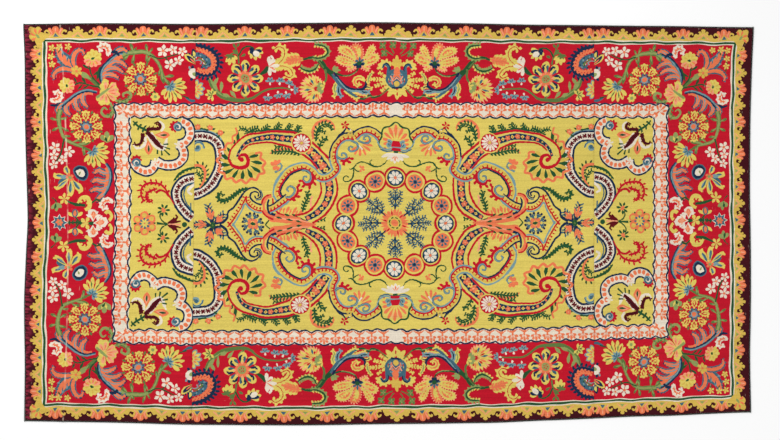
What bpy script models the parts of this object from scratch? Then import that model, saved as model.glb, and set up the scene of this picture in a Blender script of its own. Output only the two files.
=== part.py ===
"""A long room carpet that lies flat: three joined panels and the overcast cord round their edge.

Metres, +Z up. The long side runs along X and the back edge is at +Y. The origin is under the middle
of the carpet's box, on the surface it lies on.
"""

import math
from collections import namedtuple

import bmesh
import bpy

# Driving sizes
LENGTH = 5.263
WIDTH = 2.905
CLOTH_THICKNESS = 0.007
CORD_RADIUS = 0.0045
GAP = 0.0003

HALF_LENGTH = LENGTH / 2
HALF_WIDTH = WIDTH / 2
CORD_ROOM = 2 * CORD_RADIUS + GAP

# How far each edge lies inside the carpet's box, at places along that edge
Inset = namedtuple("Inset", "along inset")
BACK_EDGE = (
    Inset(-2.640, 0.014),
    Inset(-2.080, 0.007),
    Inset(-1.360, 0.013),
    Inset(-0.640, 0.006),
    Inset(-0.100, 0.000),
    Inset(0.440, 0.007),
    Inset(1.160, 0.020),
    Inset(1.880, 0.027),
    Inset(2.640, 0.037),
)
FRONT_EDGE = (
    Inset(-2.640, 0.031),
    Inset(-2.080, 0.022),
    Inset(-1.360, 0.004),
    Inset(-0.640, 0.000),
    Inset(0.080, 0.010),
    Inset(0.800, 0.018),
    Inset(1.160, 0.038),
    Inset(1.880, 0.066),
    Inset(2.640, 0.095),
)
LEFT_EDGE = (
    Inset(-1.453, 0.008),
    Inset(-1.050, 0.013),
    Inset(-0.620, 0.006),
    Inset(-0.190, 0.021),
    Inset(0.030, 0.034),
    Inset(0.240, 0.028),
    Inset(0.460, 0.020),
    Inset(0.800, 0.013),
    Inset(1.180, 0.012),
    Inset(1.453, 0.000),
)
RIGHT_EDGE = (
    Inset(-1.453, 0.020),
    Inset(-1.050, 0.029),
    Inset(-0.620, 0.021),
    Inset(-0.190, 0.022),
    Inset(0.240, 0.029),
    Inset(0.800, 0.026),
    Inset(1.180, 0.013),
    Inset(1.453, 0.000),
)

# The two seams between the panels, by their places at the front and the back edge
Seam = namedtuple("Seam", "x_front x_back")
LEFT_SEAM = Seam(-1.417, -1.386)
RIGHT_SEAM = Seam(1.480, 1.480)

# Creases that run from front to back: the sheet buckles upwards along each
Crease = namedtuple("Crease", "x_front x_back bow y_front y_back height reach")
LONG_RIDGE = Crease(-2.344, -2.365, 0.047, -1.453, 1.453, 0.0050, 0.024)
LEFT_CREASES = (LONG_RIDGE, Crease(-1.760, -1.760, 0, -0.12, 0.31, 0.0030, 0.022))
CENTRE_CREASES = (
    Crease(-0.169, -0.169, 0, -0.56, -0.14, 0.0020, 0.018),
    Crease(0.299, 0.299, 0, -0.56, -0.14, 0.0020, 0.018),
    Crease(1.012, 1.012, 0, -0.56, -0.14, 0.0020, 0.018),
)

# Creases that run across the middle panel, left by the folds it was stored in
CrossCrease = namedtuple("CrossCrease", "y x_left x_right height reach")
CROSS_CREASES = (
    CrossCrease(0.491, -1.30, 1.40, 0.0015, 0.016),
    CrossCrease(0.365, -1.30, 1.40, 0.0015, 0.016),
    CrossCrease(0.008, -1.30, 1.40, 0.0015, 0.016),
    CrossCrease(-0.222, -1.30, 1.40, 0.0015, 0.016),
    CrossCrease(-0.484, -1.30, 1.40, 0.0015, 0.016),
)
CREASE_FADE = 0.12

COLUMN_SPACING = 0.30
ROW_SPACING = 0.26

# Colour and roughness of each piece
Finish = namedtuple("Finish", "colour roughness")
RED_WOOL = Finish((0.46, 0.013, 0.020), 0.92)
YELLOW_WOOL = Finish((0.72, 0.55, 0.12), 0.92)
DARK_CORD = Finish((0.030, 0.034, 0.018), 0.88)


def clear_scene():
    """Removes what a new file starts with."""
    for item in list(bpy.data.objects):
        bpy.data.objects.remove(item, do_unlink=True)


def smooth(t):
    """Eases from 0 to 1 as t does, and holds outside that."""
    t = min(1.0, max(0.0, t))
    return t * t * (3 - 2 * t)


def inset_at(edge, along):
    """How far an edge lies inside the box at one place along it."""
    for low, high in zip(edge, edge[1:]):
        if along <= high.along:
            share = smooth((along - low.along) / (high.along - low.along))
            return low.inset + (high.inset - low.inset) * share
    return edge[-1].inset


def back_y(x):
    """The back edge of the cloth at x."""
    return HALF_WIDTH - CORD_ROOM - inset_at(BACK_EDGE, x)


def front_y(x):
    """The front edge of the cloth at x."""
    return -HALF_WIDTH + CORD_ROOM + inset_at(FRONT_EDGE, x)


def left_x(y):
    """The left edge of the cloth at y."""
    return -HALF_LENGTH + CORD_ROOM + inset_at(LEFT_EDGE, y)


def right_x(y):
    """The right edge of the cloth at y."""
    return HALF_LENGTH - CORD_ROOM - inset_at(RIGHT_EDGE, y)


def seam_x(seam, y):
    """A seam's middle line at y."""
    share = (y + HALF_WIDTH) / WIDTH
    return seam.x_front + (seam.x_back - seam.x_front) * share


def crease_x(crease, y):
    """A crease's middle line at y."""
    share = (y + HALF_WIDTH) / WIDTH
    return crease.x_front + (crease.x_back - crease.x_front) * share + 4 * crease.bow * share * (1 - share)


def swell(offset, reach):
    """The shape across a crease: 1 at its middle line, 0 from its reach outwards."""
    return smooth(1 - abs(offset) / reach)


def fade(along, start, end):
    """Lets a crease run out at its ends."""
    return smooth((along - start) / CREASE_FADE + 0.5) * smooth((end - along) / CREASE_FADE + 0.5)


def lift(x, y):
    """How far the sheet stands off the surface at a place."""
    height = 0.0
    for crease in LEFT_CREASES + CENTRE_CREASES:
        near = swell(x - crease_x(crease, y), crease.reach)
        reaches_edge = crease is LONG_RIDGE
        height += crease.height * near * (1 if reaches_edge else fade(y, crease.y_front, crease.y_back))
    for crease in CROSS_CREASES:
        near = swell(y - crease.y, crease.reach)
        height = max(height, crease.height * near * fade(x, crease.x_left, crease.x_right))
    return height


def fill_between(places, spacing):
    """Adds even places between the given ones, so that none is further than the spacing from the next."""
    filled = [places[0]]
    for low, high in zip(places, places[1:]):
        steps = max(1, math.ceil((high - low) / spacing - 1e-6))
        filled += [low + (high - low) * k / steps for k in range(1, steps + 1)]
    return filled


def row_places():
    """The rows' places from front to back, closer together at the creases across the panel."""
    crossing = [c.y + side * c.reach for c in CROSS_CREASES for side in (-1, 0, 1)]
    ends = [c.y_front for c in CENTRE_CREASES[:1]] + [c.y_back for c in LEFT_CREASES[1:]]
    return fill_between(sorted([-HALF_WIDTH, HALF_WIDTH] + crossing + ends), ROW_SPACING)


def column_guides(start, end, creases):
    """The lines that a panel's columns follow: its two sides, and each crease with its slopes."""
    guides = [start]
    for crease in creases:
        steps = (-1, -0.5, 0, 0.5, 1) if crease is LONG_RIDGE else (-1, 0, 1)
        for step in steps:
            guides.append(lambda y, c=crease, s=step: crease_x(c, y) + s * c.reach)
    return guides + [end]


def panel_points(guides):
    """Rows of points over a panel, from front to back, each from left to right."""
    rows = row_places()
    middle = [guide(0.0) for guide in guides]
    steps = [max(1, math.ceil((b - a) / COLUMN_SPACING)) for a, b in zip(middle, middle[1:])]
    points = []
    for y in rows:
        line = [guides[0](y)]
        for guide, following, count in zip(guides, guides[1:], steps):
            low, high = guide(y), following(y)
            line += [low + (high - low) * k / count for k in range(1, count + 1)]
        edge = back_y if y > 0 else lambda x: -front_y(x)
        points.append([(x, y / HALF_WIDTH * edge(x), lift(x, y)) for x in line])
    return points


def woollen(name, finish):
    """A matt material of one colour."""
    material = bpy.data.materials.new(name)
    material.use_nodes = True
    shader = material.node_tree.nodes["Principled BSDF"]
    shader.inputs["Base Color"].default_value = (*finish.colour, 1)
    shader.inputs["Roughness"].default_value = finish.roughness
    shader.inputs["Metallic"].default_value = 0
    return material


def make_panel(name, points, finish, collection):
    """A sheet of cloth over a grid of points on its underside, thickened upwards."""
    rows, columns = len(points), len(points[0])
    sheet = bmesh.new()
    bmesh.ops.create_grid(sheet, x_segments=columns - 1, y_segments=rows - 1, size=0.5)
    for vertex in sheet.verts:
        column = round((vertex.co.x + 0.5) * (columns - 1))
        row = round((vertex.co.y + 0.5) * (rows - 1))
        vertex.co = points[row][column]
    mesh = bpy.data.meshes.new(name)
    sheet.to_mesh(mesh)
    sheet.free()
    panel = bpy.data.objects.new(name, mesh)
    collection.objects.link(panel)
    mesh.materials.append(woollen(name + "_wool", finish))
    thicken = panel.modifiers.new("Thickness", "SOLIDIFY")
    thicken.thickness = CLOTH_THICKNESS
    thicken.offset = 1
    return panel


def make_cord(name, line, collection):
    """A cord along a line of points on the surface."""
    curve = bpy.data.curves.new(name, "CURVE")
    curve.dimensions = "3D"
    curve.bevel_depth = CORD_RADIUS
    curve.bevel_resolution = 2
    curve.use_fill_caps = True
    spline = curve.splines.new("POLY")
    spline.points.add(len(line) - 1)
    for point, (x, y, z) in zip(spline.points, line):
        point.co = (x, y, z + CORD_RADIUS, 1)
    curve.materials.append(woollen(name + "_yarn", DARK_CORD))
    cord = bpy.data.objects.new(name, curve)
    collection.objects.link(cord)
    return cord


def side_cord_line(points, column, outwards):
    """The line of a cord beside one end of a panel, carried past both corners."""
    reach = CORD_RADIUS + GAP
    line = [(row[column][0] + outwards * reach, row[column][1], row[column][2]) for row in points]
    first, last = line[0], line[-1]
    return [(first[0], first[1] - CORD_ROOM, first[2])] + line + [(last[0], last[1] + CORD_ROOM, last[2])]


def edge_cord_line(row, outwards):
    """The line of a cord along the front or the back of a panel."""
    return [(x, y + outwards * (CORD_RADIUS + GAP), z) for x, y, z in row]


def main():
    """Builds the carpet."""
    clear_scene()
    carpet = bpy.data.collections.new("carpet")
    bpy.context.scene.collection.children.link(carpet)

    half_gap = GAP / 2
    left = panel_points(
        column_guides(left_x, lambda y: seam_x(LEFT_SEAM, y) - half_gap, LEFT_CREASES)
    )
    centre = panel_points(
        column_guides(
            lambda y: seam_x(LEFT_SEAM, y) + half_gap,
            lambda y: seam_x(RIGHT_SEAM, y) - half_gap,
            CENTRE_CREASES,
        )
    )
    right = panel_points(
        column_guides(lambda y: seam_x(RIGHT_SEAM, y) + half_gap, right_x, ())
    )

    for side, points, finish in (
        ("left", left, RED_WOOL),
        ("centre", centre, YELLOW_WOOL),
        ("right", right, RED_WOOL),
    ):
        make_panel(side + "_panel", points, finish, carpet)
        make_cord(side + "_front_cord", edge_cord_line(points[0], -1), carpet)
        make_cord(side + "_back_cord", edge_cord_line(points[-1], 1), carpet)
    make_cord("left_end_cord", side_cord_line(left, 0, -1), carpet)
    make_cord("right_end_cord", side_cord_line(right, -1, 1), carpet)


main()
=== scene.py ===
"""The looks of a long floral room carpet: its woven pattern, worn wool, sewn seams and overcast edge.

The pattern is drawn as a chart, in squares of KNOT_SQUARE metres counted from the carpet's middle. Most
motifs are drawn once, in the quarter where u and v are positive, and repeated in the other three. Each
panel is then cut from the chart as one sheet, whose triangles carry the colour of their yarn.
"""

from __future__ import annotations

import logging
import math
from dataclasses import dataclass, field
from enum import Enum
from typing import Callable, Iterable, Sequence

import bpy
import numpy as np
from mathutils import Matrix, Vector
from mathutils.bvhtree import BVHTree
from mathutils.geometry import delaunay_2d_cdt
from mathutils.kdtree import KDTree


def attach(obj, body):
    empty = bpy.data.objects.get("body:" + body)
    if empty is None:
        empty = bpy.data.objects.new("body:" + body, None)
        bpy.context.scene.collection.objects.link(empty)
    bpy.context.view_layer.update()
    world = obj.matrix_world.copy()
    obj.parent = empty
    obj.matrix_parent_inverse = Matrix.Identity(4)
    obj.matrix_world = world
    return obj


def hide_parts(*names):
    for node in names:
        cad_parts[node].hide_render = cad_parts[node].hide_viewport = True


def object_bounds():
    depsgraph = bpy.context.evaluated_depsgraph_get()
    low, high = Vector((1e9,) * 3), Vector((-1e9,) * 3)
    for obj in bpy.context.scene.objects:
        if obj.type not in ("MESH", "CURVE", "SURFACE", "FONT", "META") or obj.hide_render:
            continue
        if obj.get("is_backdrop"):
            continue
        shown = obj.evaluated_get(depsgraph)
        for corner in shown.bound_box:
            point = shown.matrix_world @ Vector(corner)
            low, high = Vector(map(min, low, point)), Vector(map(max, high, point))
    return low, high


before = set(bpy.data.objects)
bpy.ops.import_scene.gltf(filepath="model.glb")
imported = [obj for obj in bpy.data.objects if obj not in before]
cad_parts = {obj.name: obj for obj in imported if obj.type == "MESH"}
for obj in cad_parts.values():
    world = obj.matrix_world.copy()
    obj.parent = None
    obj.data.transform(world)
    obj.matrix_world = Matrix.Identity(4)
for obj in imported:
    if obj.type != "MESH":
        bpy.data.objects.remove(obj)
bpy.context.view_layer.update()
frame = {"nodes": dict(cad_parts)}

log = logging.getLogger("carpet")

KNOT_SQUARE = 0.0072
CHART_MIDDLE_X = 0.0468
LINEN = (176, 160, 132)
PLACES_AT_ONCE = 20000

# Start and height of the bands that the pile, the sides and the lining take up in the map
PILE_BAND, SIDE_BAND, LINING_BAND = (0.065, 0.93), (0.035, 0.02), (0.005, 0.025)

# Sizes of the chart, in squares from the middle
SEAM_U = 201.0
EDGE_U = 371.0
EDGE_V = 200.5
FIELD_U, FIELD_V = 264.6, 106.6
GUARD_U, GUARD_V = 281.1, 120.9
BORDER_U, BORDER_V = 346.5, 181.6

Points = Sequence[Sequence[float]]


class Yarn(Enum):
    """The dyed yarns, each by its red, green and blue of 255."""

    CRIMSON = (186, 17, 38)
    YELLOW = (214, 193, 94)
    GOLD = (208, 175, 78)
    CORAL = (225, 117, 76)
    SALMON = (234, 154, 118)
    IVORY = (224, 212, 192)
    NAVY = (20, 40, 68)
    SLATE = (62, 98, 113)
    SKY = (118, 149, 152)
    GREEN = (34, 78, 44)
    LEAF = (90, 114, 60)
    LIME = (138, 151, 88)
    PLUM = (62, 10, 20)
    MAROON = (90, 10, 20)


(CRIMSON, YELLOW, GOLD, CORAL, SALMON, IVORY, NAVY, SLATE,
 SKY, GREEN, LEAF, LIME, PLUM, MAROON) = Yarn


class Zone(Enum):
    """Which panels a motif is woven on."""

    ALL = "all"
    CENTRE = "centre"
    ENDS = "ends"


class Mirror(Enum):
    """How often a motif is woven: its repeats across the carpet's two middle lines."""

    ONCE = ((1, 1),)
    SIDES = ((1, 1), (-1, 1))
    TURNS = ((1, 1), (1, -1))
    QUARTERS = ((1, 1), (-1, 1), (1, -1), (-1, -1))


def curve(points: Points, step: float = 2.0, closed: bool = False) -> np.ndarray:
    """Runs a smooth line through a few points.

    Args:
        points: The points that the line passes through.
        step: The longest straight piece.
        closed: Whether the line comes back to its start.

    Returns:
        The line's points, one row each.
    """
    given = np.array([p[:2] for p in points], dtype=float)
    if len(given) < 3:
        return given
    if closed:
        given = np.vstack([given[-1], given, given[0], given[1]])
    else:
        given = np.vstack([2 * given[0] - given[1], given, 2 * given[-1] - given[-2]])
    line = [given[1]]
    for before, start, end, after in zip(given, given[1:], given[2:], given[3:]):
        gaps = [max(1e-6, math.dist(a, b) ** 0.5) for a, b in ((before, start), (start, end),
            (end, after))]
        into = ((start - before) / gaps[0] - (end - before) / (gaps[0] + gaps[1])) * gaps[1] + (end - start)
        out = ((after - end) / gaps[2] - (after - start) / (gaps[1] + gaps[2])) * gaps[1] + (end - start)
        count = max(1, math.ceil(math.dist(start, end) / step))
        for k in range(1, count + 1):
            t = k / count
            line.append(
                (1 + 2 * t) * (1 - t) ** 2 * start
                + t * (1 - t) ** 2 * into
                + t * t * (3 - 2 * t) * end
                + t * t * (t - 1) * out
            )
    return np.array(line[:-1] if closed else line)


def arc(
    middle: Sequence[float], radii: Sequence[float], start: float, end: float, step: float = 2.0
) -> np.ndarray:
    """Gives an arc or a spiral.

    Args:
        middle: The arc's middle.
        radii: The radius at its start and at its end.
        start: The direction of its start, in degrees from +u towards +v.
        end: The direction of its end.
        step: The longest straight piece.

    Returns:
        The arc's points, one row each.
    """
    turn = math.radians(end - start)
    count = max(4, math.ceil(abs(turn) * max(radii) / step), math.ceil(abs(turn) / 0.7))
    t = np.linspace(0, 1, count + 1)
    angle = math.radians(start) + turn * t
    radius = radii[0] + (radii[1] - radii[0]) * t
    return np.column_stack([middle[0] + radius * np.cos(angle), middle[1] + radius * np.sin(angle)])


def normals(path: np.ndarray, closed: bool = False) -> np.ndarray:
    """Gives the unit direction to the left of a line at each of its points.

    Args:
        path: The path's points.
        closed: If it ends where it starts.

    Returns:
        One unit vector per point, to the path's left.
    """
    if closed:
        ahead = np.roll(path, -1, axis=0) - np.roll(path, 1, axis=0)
    else:
        ahead = np.gradient(path, axis=0)
    ahead = ahead / np.maximum(np.linalg.norm(ahead, axis=1, keepdims=True), 1e-9)
    return np.column_stack([-ahead[:, 1], ahead[:, 0]])


def beside(path: np.ndarray, distance: float | Sequence[float], closed: bool = False) -> np.ndarray:
    """Moves a line sideways to its left."""
    return path + normals(path, closed) * spread(distance, len(path))[:, None]


def spread(values: float | Sequence[float], count: int) -> np.ndarray:
    """Spreads one number, or a few in order, evenly over a count of places.

    Args:
        values: The number, or the numbers in order.
        count: How many places there are.

    Returns:
        The number at each place.
    """
    row = np.atleast_1d(np.asarray(values, dtype=float))
    if len(row) == 1:
        return np.full(count, row[0])
    return np.interp(np.linspace(0, 1, count), np.linspace(0, 1, len(row)), row)


def stations(
    path: np.ndarray, pitch: float, start: float = 0.5
) -> list[tuple[np.ndarray, float, float]]:
    """Finds even places along a line.

    Args:
        path: The line's points.
        pitch: The distance from one place to the next.
        start: Where the first place lies, as a share of the pitch.

    Returns:
        For each place, its point, the line's direction in degrees, and how far along it is from 0 to 1.
    """
    lengths = np.concatenate([[0], np.cumsum(np.linalg.norm(np.diff(path, axis=0), axis=1))])
    total = lengths[-1]
    count = max(1, round(total / pitch))
    places = []
    for k in range(count):
        at = (k + start) * total / count
        i = min(len(path) - 2, int(np.searchsorted(lengths, at, side="right")) - 1)
        share = (at - lengths[i]) / max(1e-9, lengths[i + 1] - lengths[i])
        ahead = path[i + 1] - path[i]
        places.append((path[i] + ahead * share, math.degrees(math.atan2(ahead[1], ahead[0])),
            at / total))
    return places


def box(half_u: float, half_v: float, pitch: float = 6.0) -> list[tuple[float, float]]:
    """Gives a rectangle about the carpet's middle, with corners at least every pitch along its sides.

    Args:
        half_u: Half its length.
        half_v: Half its width.
        pitch: The most between two corners.

    Returns:
        Its corners, in order.
    """
    corners = [(-half_u, -half_v), (half_u, -half_v), (half_u, half_v), (-half_u, half_v)]
    ring = []
    for start, end in zip(corners, corners[1:] + corners[:1]):
        count = math.ceil(math.dist(start, end) / pitch)
        ring += [(start[0] + (end[0] - start[0]) * k / count,
            start[1] + (end[1] - start[1]) * k / count) for k in range(count)]
    return ring


def polar(middle: Sequence[float], radius: float, angle: float) -> tuple[float, float]:
    """Gives the point at a distance from a middle, in a direction in degrees."""
    turn = math.radians(angle)
    return middle[0] + radius * math.cos(turn), middle[1] + radius * math.sin(turn)


@dataclass(frozen=True)
class Spot:
    """Where a motif sits: its middle, its turn in degrees, its size, and if it is turned over."""

    u: float
    v: float
    turn: float = 0.0
    size: float = 1.0
    over: bool = False

    def at(self, points: Points) -> np.ndarray:
        """Moves points from the motif's own place to the chart.

        Args:
            points: The points, as the motif draws them.

        Returns:
            Their u and v, one row each.
        """
        own = np.array([p[:2] for p in points], dtype=float) * self.size
        if self.over:
            own[:, 1] *= -1
        c, s = math.cos(math.radians(self.turn)), math.sin(math.radians(self.turn))
        return own @ np.array([[c, s], [-s, c]]) + (self.u, self.v)

    def to(self, x: float, y: float) -> tuple[float, float]:
        """Moves one point to the chart."""
        return tuple(self.at([(x, y)])[0])

    def angle(self, own: float) -> float:
        """Turns a direction with the motif."""
        return self.turn + (-own if self.over else own)


@dataclass(frozen=True)
class Patch:
    """One flat area of yarn on the chart."""

    corners: np.ndarray
    yarn: Yarn
    zone: Zone
    mirror: Mirror


@dataclass
class Chart:
    """The weaver's chart: areas of yarn, of which a later one covers those before it."""

    patches: list[Patch] = field(default_factory=list)
    zone: Zone = Zone.ALL
    mirror: Mirror = Mirror.QUARTERS

    def on(self, zone: Zone, mirror: Mirror) -> None:
        """Says where the next motifs are woven."""
        self.zone, self.mirror = zone, mirror

    def area(self, outline: Points, yarn: Yarn) -> None:
        """Fills an outline."""
        self.patches.append(Patch(np.asarray(outline, dtype=float), yarn, self.zone, self.mirror))

    def blob(self, points: Points, yarn: Yarn, edge: Yarn | None = None, width: float = 1.2) -> None:
        """Fills a smooth outline through a few points, and lines its edge if a yarn is given for it.

        Args:
            points: The points that its outline passes through.
            yarn: Its yarn.
            edge: The yarn of its edge, if it has one.
            width: The edge's width.
        """
        outline = curve(points, 2.2, closed=True)
        self.area(outline, yarn)
        if edge:
            self.line(outline, width, edge, closed=True)

    def line(
        self, path: Points, width: float | Sequence[float], yarn: Yarn, closed: bool = False
    ) -> None:
        """Draws a line.

        Args:
            path: The line's points.
            width: Its width, or a few widths in order from its start to its end.
            yarn: Its yarn.
            closed: Whether its end joins its start.
        """
        middle = np.asarray(path, dtype=float)
        if closed:
            middle = np.vstack([middle, middle[:1]])
        half = normals(middle) * spread(width, len(middle))[:, None] / 2
        if closed:
            half[0] = half[-1] = (half[0] + half[-1]) / 2
        left, right = middle + half, middle - half
        ahead = np.diff(middle, axis=0)
        for i, step in enumerate(ahead):
            if (left[i + 1] - left[i]) @ step <= 0:
                corners = [(left[i] + left[i + 1]) / 2, right[i + 1], right[i]]
            elif (right[i + 1] - right[i]) @ step <= 0:
                corners = [left[i], left[i + 1], (right[i] + right[i + 1]) / 2]
            else:
                corners = [left[i], left[i + 1], right[i + 1], right[i]]
            self.area(corners, yarn)

    def stroke(
        self, points: Points, width: float | Sequence[float], yarn: Yarn, step: float = 2.0
    ) -> np.ndarray:
        """Draws a smooth line through a few points, and returns it.

        Args:
            points: The points that it passes through.
            width: Its width, or its widths along it.
            yarn: Its yarn.
            step: The curve's spacing.

        Returns:
            The curve's own points.
        """
        path = curve(points, step)
        self.line(path, width, yarn)
        return path

    def disc(self, middle: Sequence[float], radius: float, yarn: Yarn, sides: int = 12) -> None:
        """Fills a circle."""
        self.area([polar(middle, radius, 360 * (k + 0.5) / sides) for k in range(sides)], yarn)

    def oval(
        self, middle: Sequence[float], radii: Sequence[float], turn: float, yarn: Yarn, sides: int = 12
    ) -> None:
        """Fills an ellipse.

        Args:
            middle: Its middle.
            radii: Its two radii.
            turn: Its direction in degrees.
            yarn: Its yarn.
            sides: How many sides it has.
        """
        spot = Spot(*middle, turn)
        own = [polar((0, 0), 1, 360 * (k + 0.5) / sides) for k in range(sides)]
        self.area(spot.at([(x * radii[0], y * radii[1]) for x, y in own]), yarn)

    def ring(
        self, middle: Sequence[float], radius: float, width: float, yarn: Yarn, sides: int = 16
    ) -> None:
        """Draws a circle's line."""
        self.line([polar(middle, radius, 360 * k / sides) for k in range(sides)], width, yarn,
            closed=True)

    def star(
        self, middle: Sequence[float], radii: Sequence[float], points: int, yarn: Yarn, turn: float = 0
    ) -> None:
        """Fills a star with the given outer and inner radius."""
        corners = [polar(middle, radii[k % 2], turn + 180 * k / points) for k in range(2 * points)]
        self.area(corners, yarn)

    def petal(
        self, base: Sequence[float], turn: float, length: float, width: float, yarn: Yarn,
        blunt: float = 0.0
    ) -> None:
        """Fills a petal or leaf.

        Args:
            base: The point it grows from.
            turn: The direction it grows in, in degrees.
            length: Its length.
            width: Its greatest width.
            yarn: Its yarn.
            blunt: From 0, with a sharp tip, to 1, with a broad one.
        """
        half = width / 2
        side = [(0.28, 0.55 - 0.1 * blunt), (0.6, 1.0), (0.86, 0.55 + 0.4 * blunt)]
        tip = [(1.0, 0.42 * blunt)] if blunt else []
        upper = [(length * x, half * y) for x, y in side + tip]
        end = [] if blunt else [(length, 0.0)]
        lower = [(x, -y) for x, y in reversed(upper)]
        self.area(Spot(base[0], base[1], turn).at([(0, 0)] + upper + end + lower), yarn)

    def fan(
        self,
        base: Sequence[float],
        turn: float,
        spreading: float,
        count: int,
        length: float | Sequence[float],
        width: float,
        yarn: Yarn,
        blunt: float = 0.0,
        inner: float = 0.0,
    ) -> None:
        """Draws petals that spread from one point, the lengths given from one side to the other.

        Args:
            base: Where the petals meet.
            turn: The middle one's direction.
            spreading: The angle that they cover.
            count: How many.
            length: Their length, or each one's.
            width: Their width.
            yarn: Their yarn.
            blunt: How blunt they are.
            inner: How far from the base they start.
        """
        lengths = spread(length, count)
        for k in range(count):
            angle = turn + spreading * (k / max(1, count - 1) - 0.5)
            self.petal(polar(base, inner, angle), angle, lengths[k] - inner, width, yarn, blunt)

    def wreath(
        self,
        middle: Sequence[float],
        inner: float,
        outer: float,
        count: int,
        width: float,
        yarn: Yarn,
        blunt: float = 0.0,
        turn: float = 0.0,
    ) -> None:
        """Draws petals all round a middle.

        Args:
            middle: Its middle.
            inner: Where the petals start.
            outer: Where they end.
            count: How many.
            width: Their width.
            yarn: Their yarn.
            blunt: How blunt they are.
            turn: The first one's direction.
        """
        for k in range(count):
            angle = turn + 360 * k / count
            self.petal(polar(middle, inner, angle), angle, outer - inner, width, yarn, blunt)

    def leaflets(
        self,
        path: np.ndarray,
        pitch: float,
        reach: float | Sequence[float],
        width: float,
        yarn: Yarn,
        lean: float = 45.0,
        sides: Sequence[int] = (1, -1),
    ) -> None:
        """Draws small leaves beside a line, with their reach in order along it and their lean in degrees.

        Args:
            path: The stem's points.
            pitch: The leaflets' spacing.
            reach: Their length, or their lengths along it.
            width: Their width.
            yarn: Their yarn.
            lean: Their angle from the stem.
            sides: The sides that they grow on.
        """
        for point, angle, along in stations(path, pitch):
            length = float(np.interp(along, np.linspace(0, 1, len(np.atleast_1d(reach))),
                np.atleast_1d(reach)))
            for side in sides:
                self.petal(point, angle + side * lean, length, width, yarn)

    def frond(
        self,
        points: Points,
        width: float | Sequence[float],
        yarn: Yarn,
        reach: float | Sequence[float],
        pitch: float = 3.2,
        leaf: float = 1.7,
        lean: float = 48.0,
        sides: Sequence[int] = (1, -1),
    ) -> np.ndarray:
        """Draws a stem with small leaves beside it, and returns the stem's line.

        Args:
            points: The points that the stem passes through.
            width: The stem's width.
            yarn: Its yarn.
            reach: The leaflets' length.
            pitch: Their spacing.
            leaf: Their width.
            lean: Their angle from the stem.
            sides: The sides that they grow on.

        Returns:
            The stem's own points.
        """
        path = self.stroke(points, width, yarn)
        self.leaflets(path, pitch, reach, leaf, yarn, lean, sides)
        return path

    def volute(
        self, eye: Sequence[float], radius: float, start: float, turns: float, width: float, yarn: Yarn
    ) -> None:
        """Draws a line that curls in to an eye, from a radius and a direction, with a sign for its turn.

        Args:
            eye: Its innermost point.
            radius: Its outer radius.
            start: The angle that it starts at.
            turns: How often it goes round.
            width: Its width.
            yarn: Its yarn.
        """
        path = arc(eye, (radius, radius * 0.18), start, start + 360 * turns, 1.2)
        self.line(path, (width, width, width * 0.8), yarn)
        self.disc(eye, radius * 0.3, yarn, 8)


@dataclass
class Motif:
    """A part of the carpet's pattern, drawn on one chart."""

    chart: Chart


@dataclass
class GroundWork(Motif):
    """The plain grounds: the plum edge, the striped lines, the crimson border and the yellow field."""

    guard_line: float = 185.6
    guard_line_end: float = 351.7

    def draw(self) -> None:
        """Draws the grounds from the outside inwards."""
        chart = self.chart
        chart.on(Zone.ALL, Mirror.ONCE)
        for half_u, half_v, yarn in (
            (EDGE_U + 3, EDGE_V + 3, PLUM),
            (self.guard_line_end + 1.9, self.guard_line + 1.4, GOLD),
            (self.guard_line_end, self.guard_line, IVORY),
            (self.guard_line_end - 1.2, self.guard_line - 1.1, GREEN),
            (self.guard_line_end - 3.6, self.guard_line - 3.1, IVORY),
            (BORDER_U, BORDER_V, CRIMSON),
            (GUARD_U, GUARD_V, IVORY),
            (FIELD_U, FIELD_V, YELLOW),
        ):
            chart.area(box(half_u, half_v), yarn)


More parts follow.
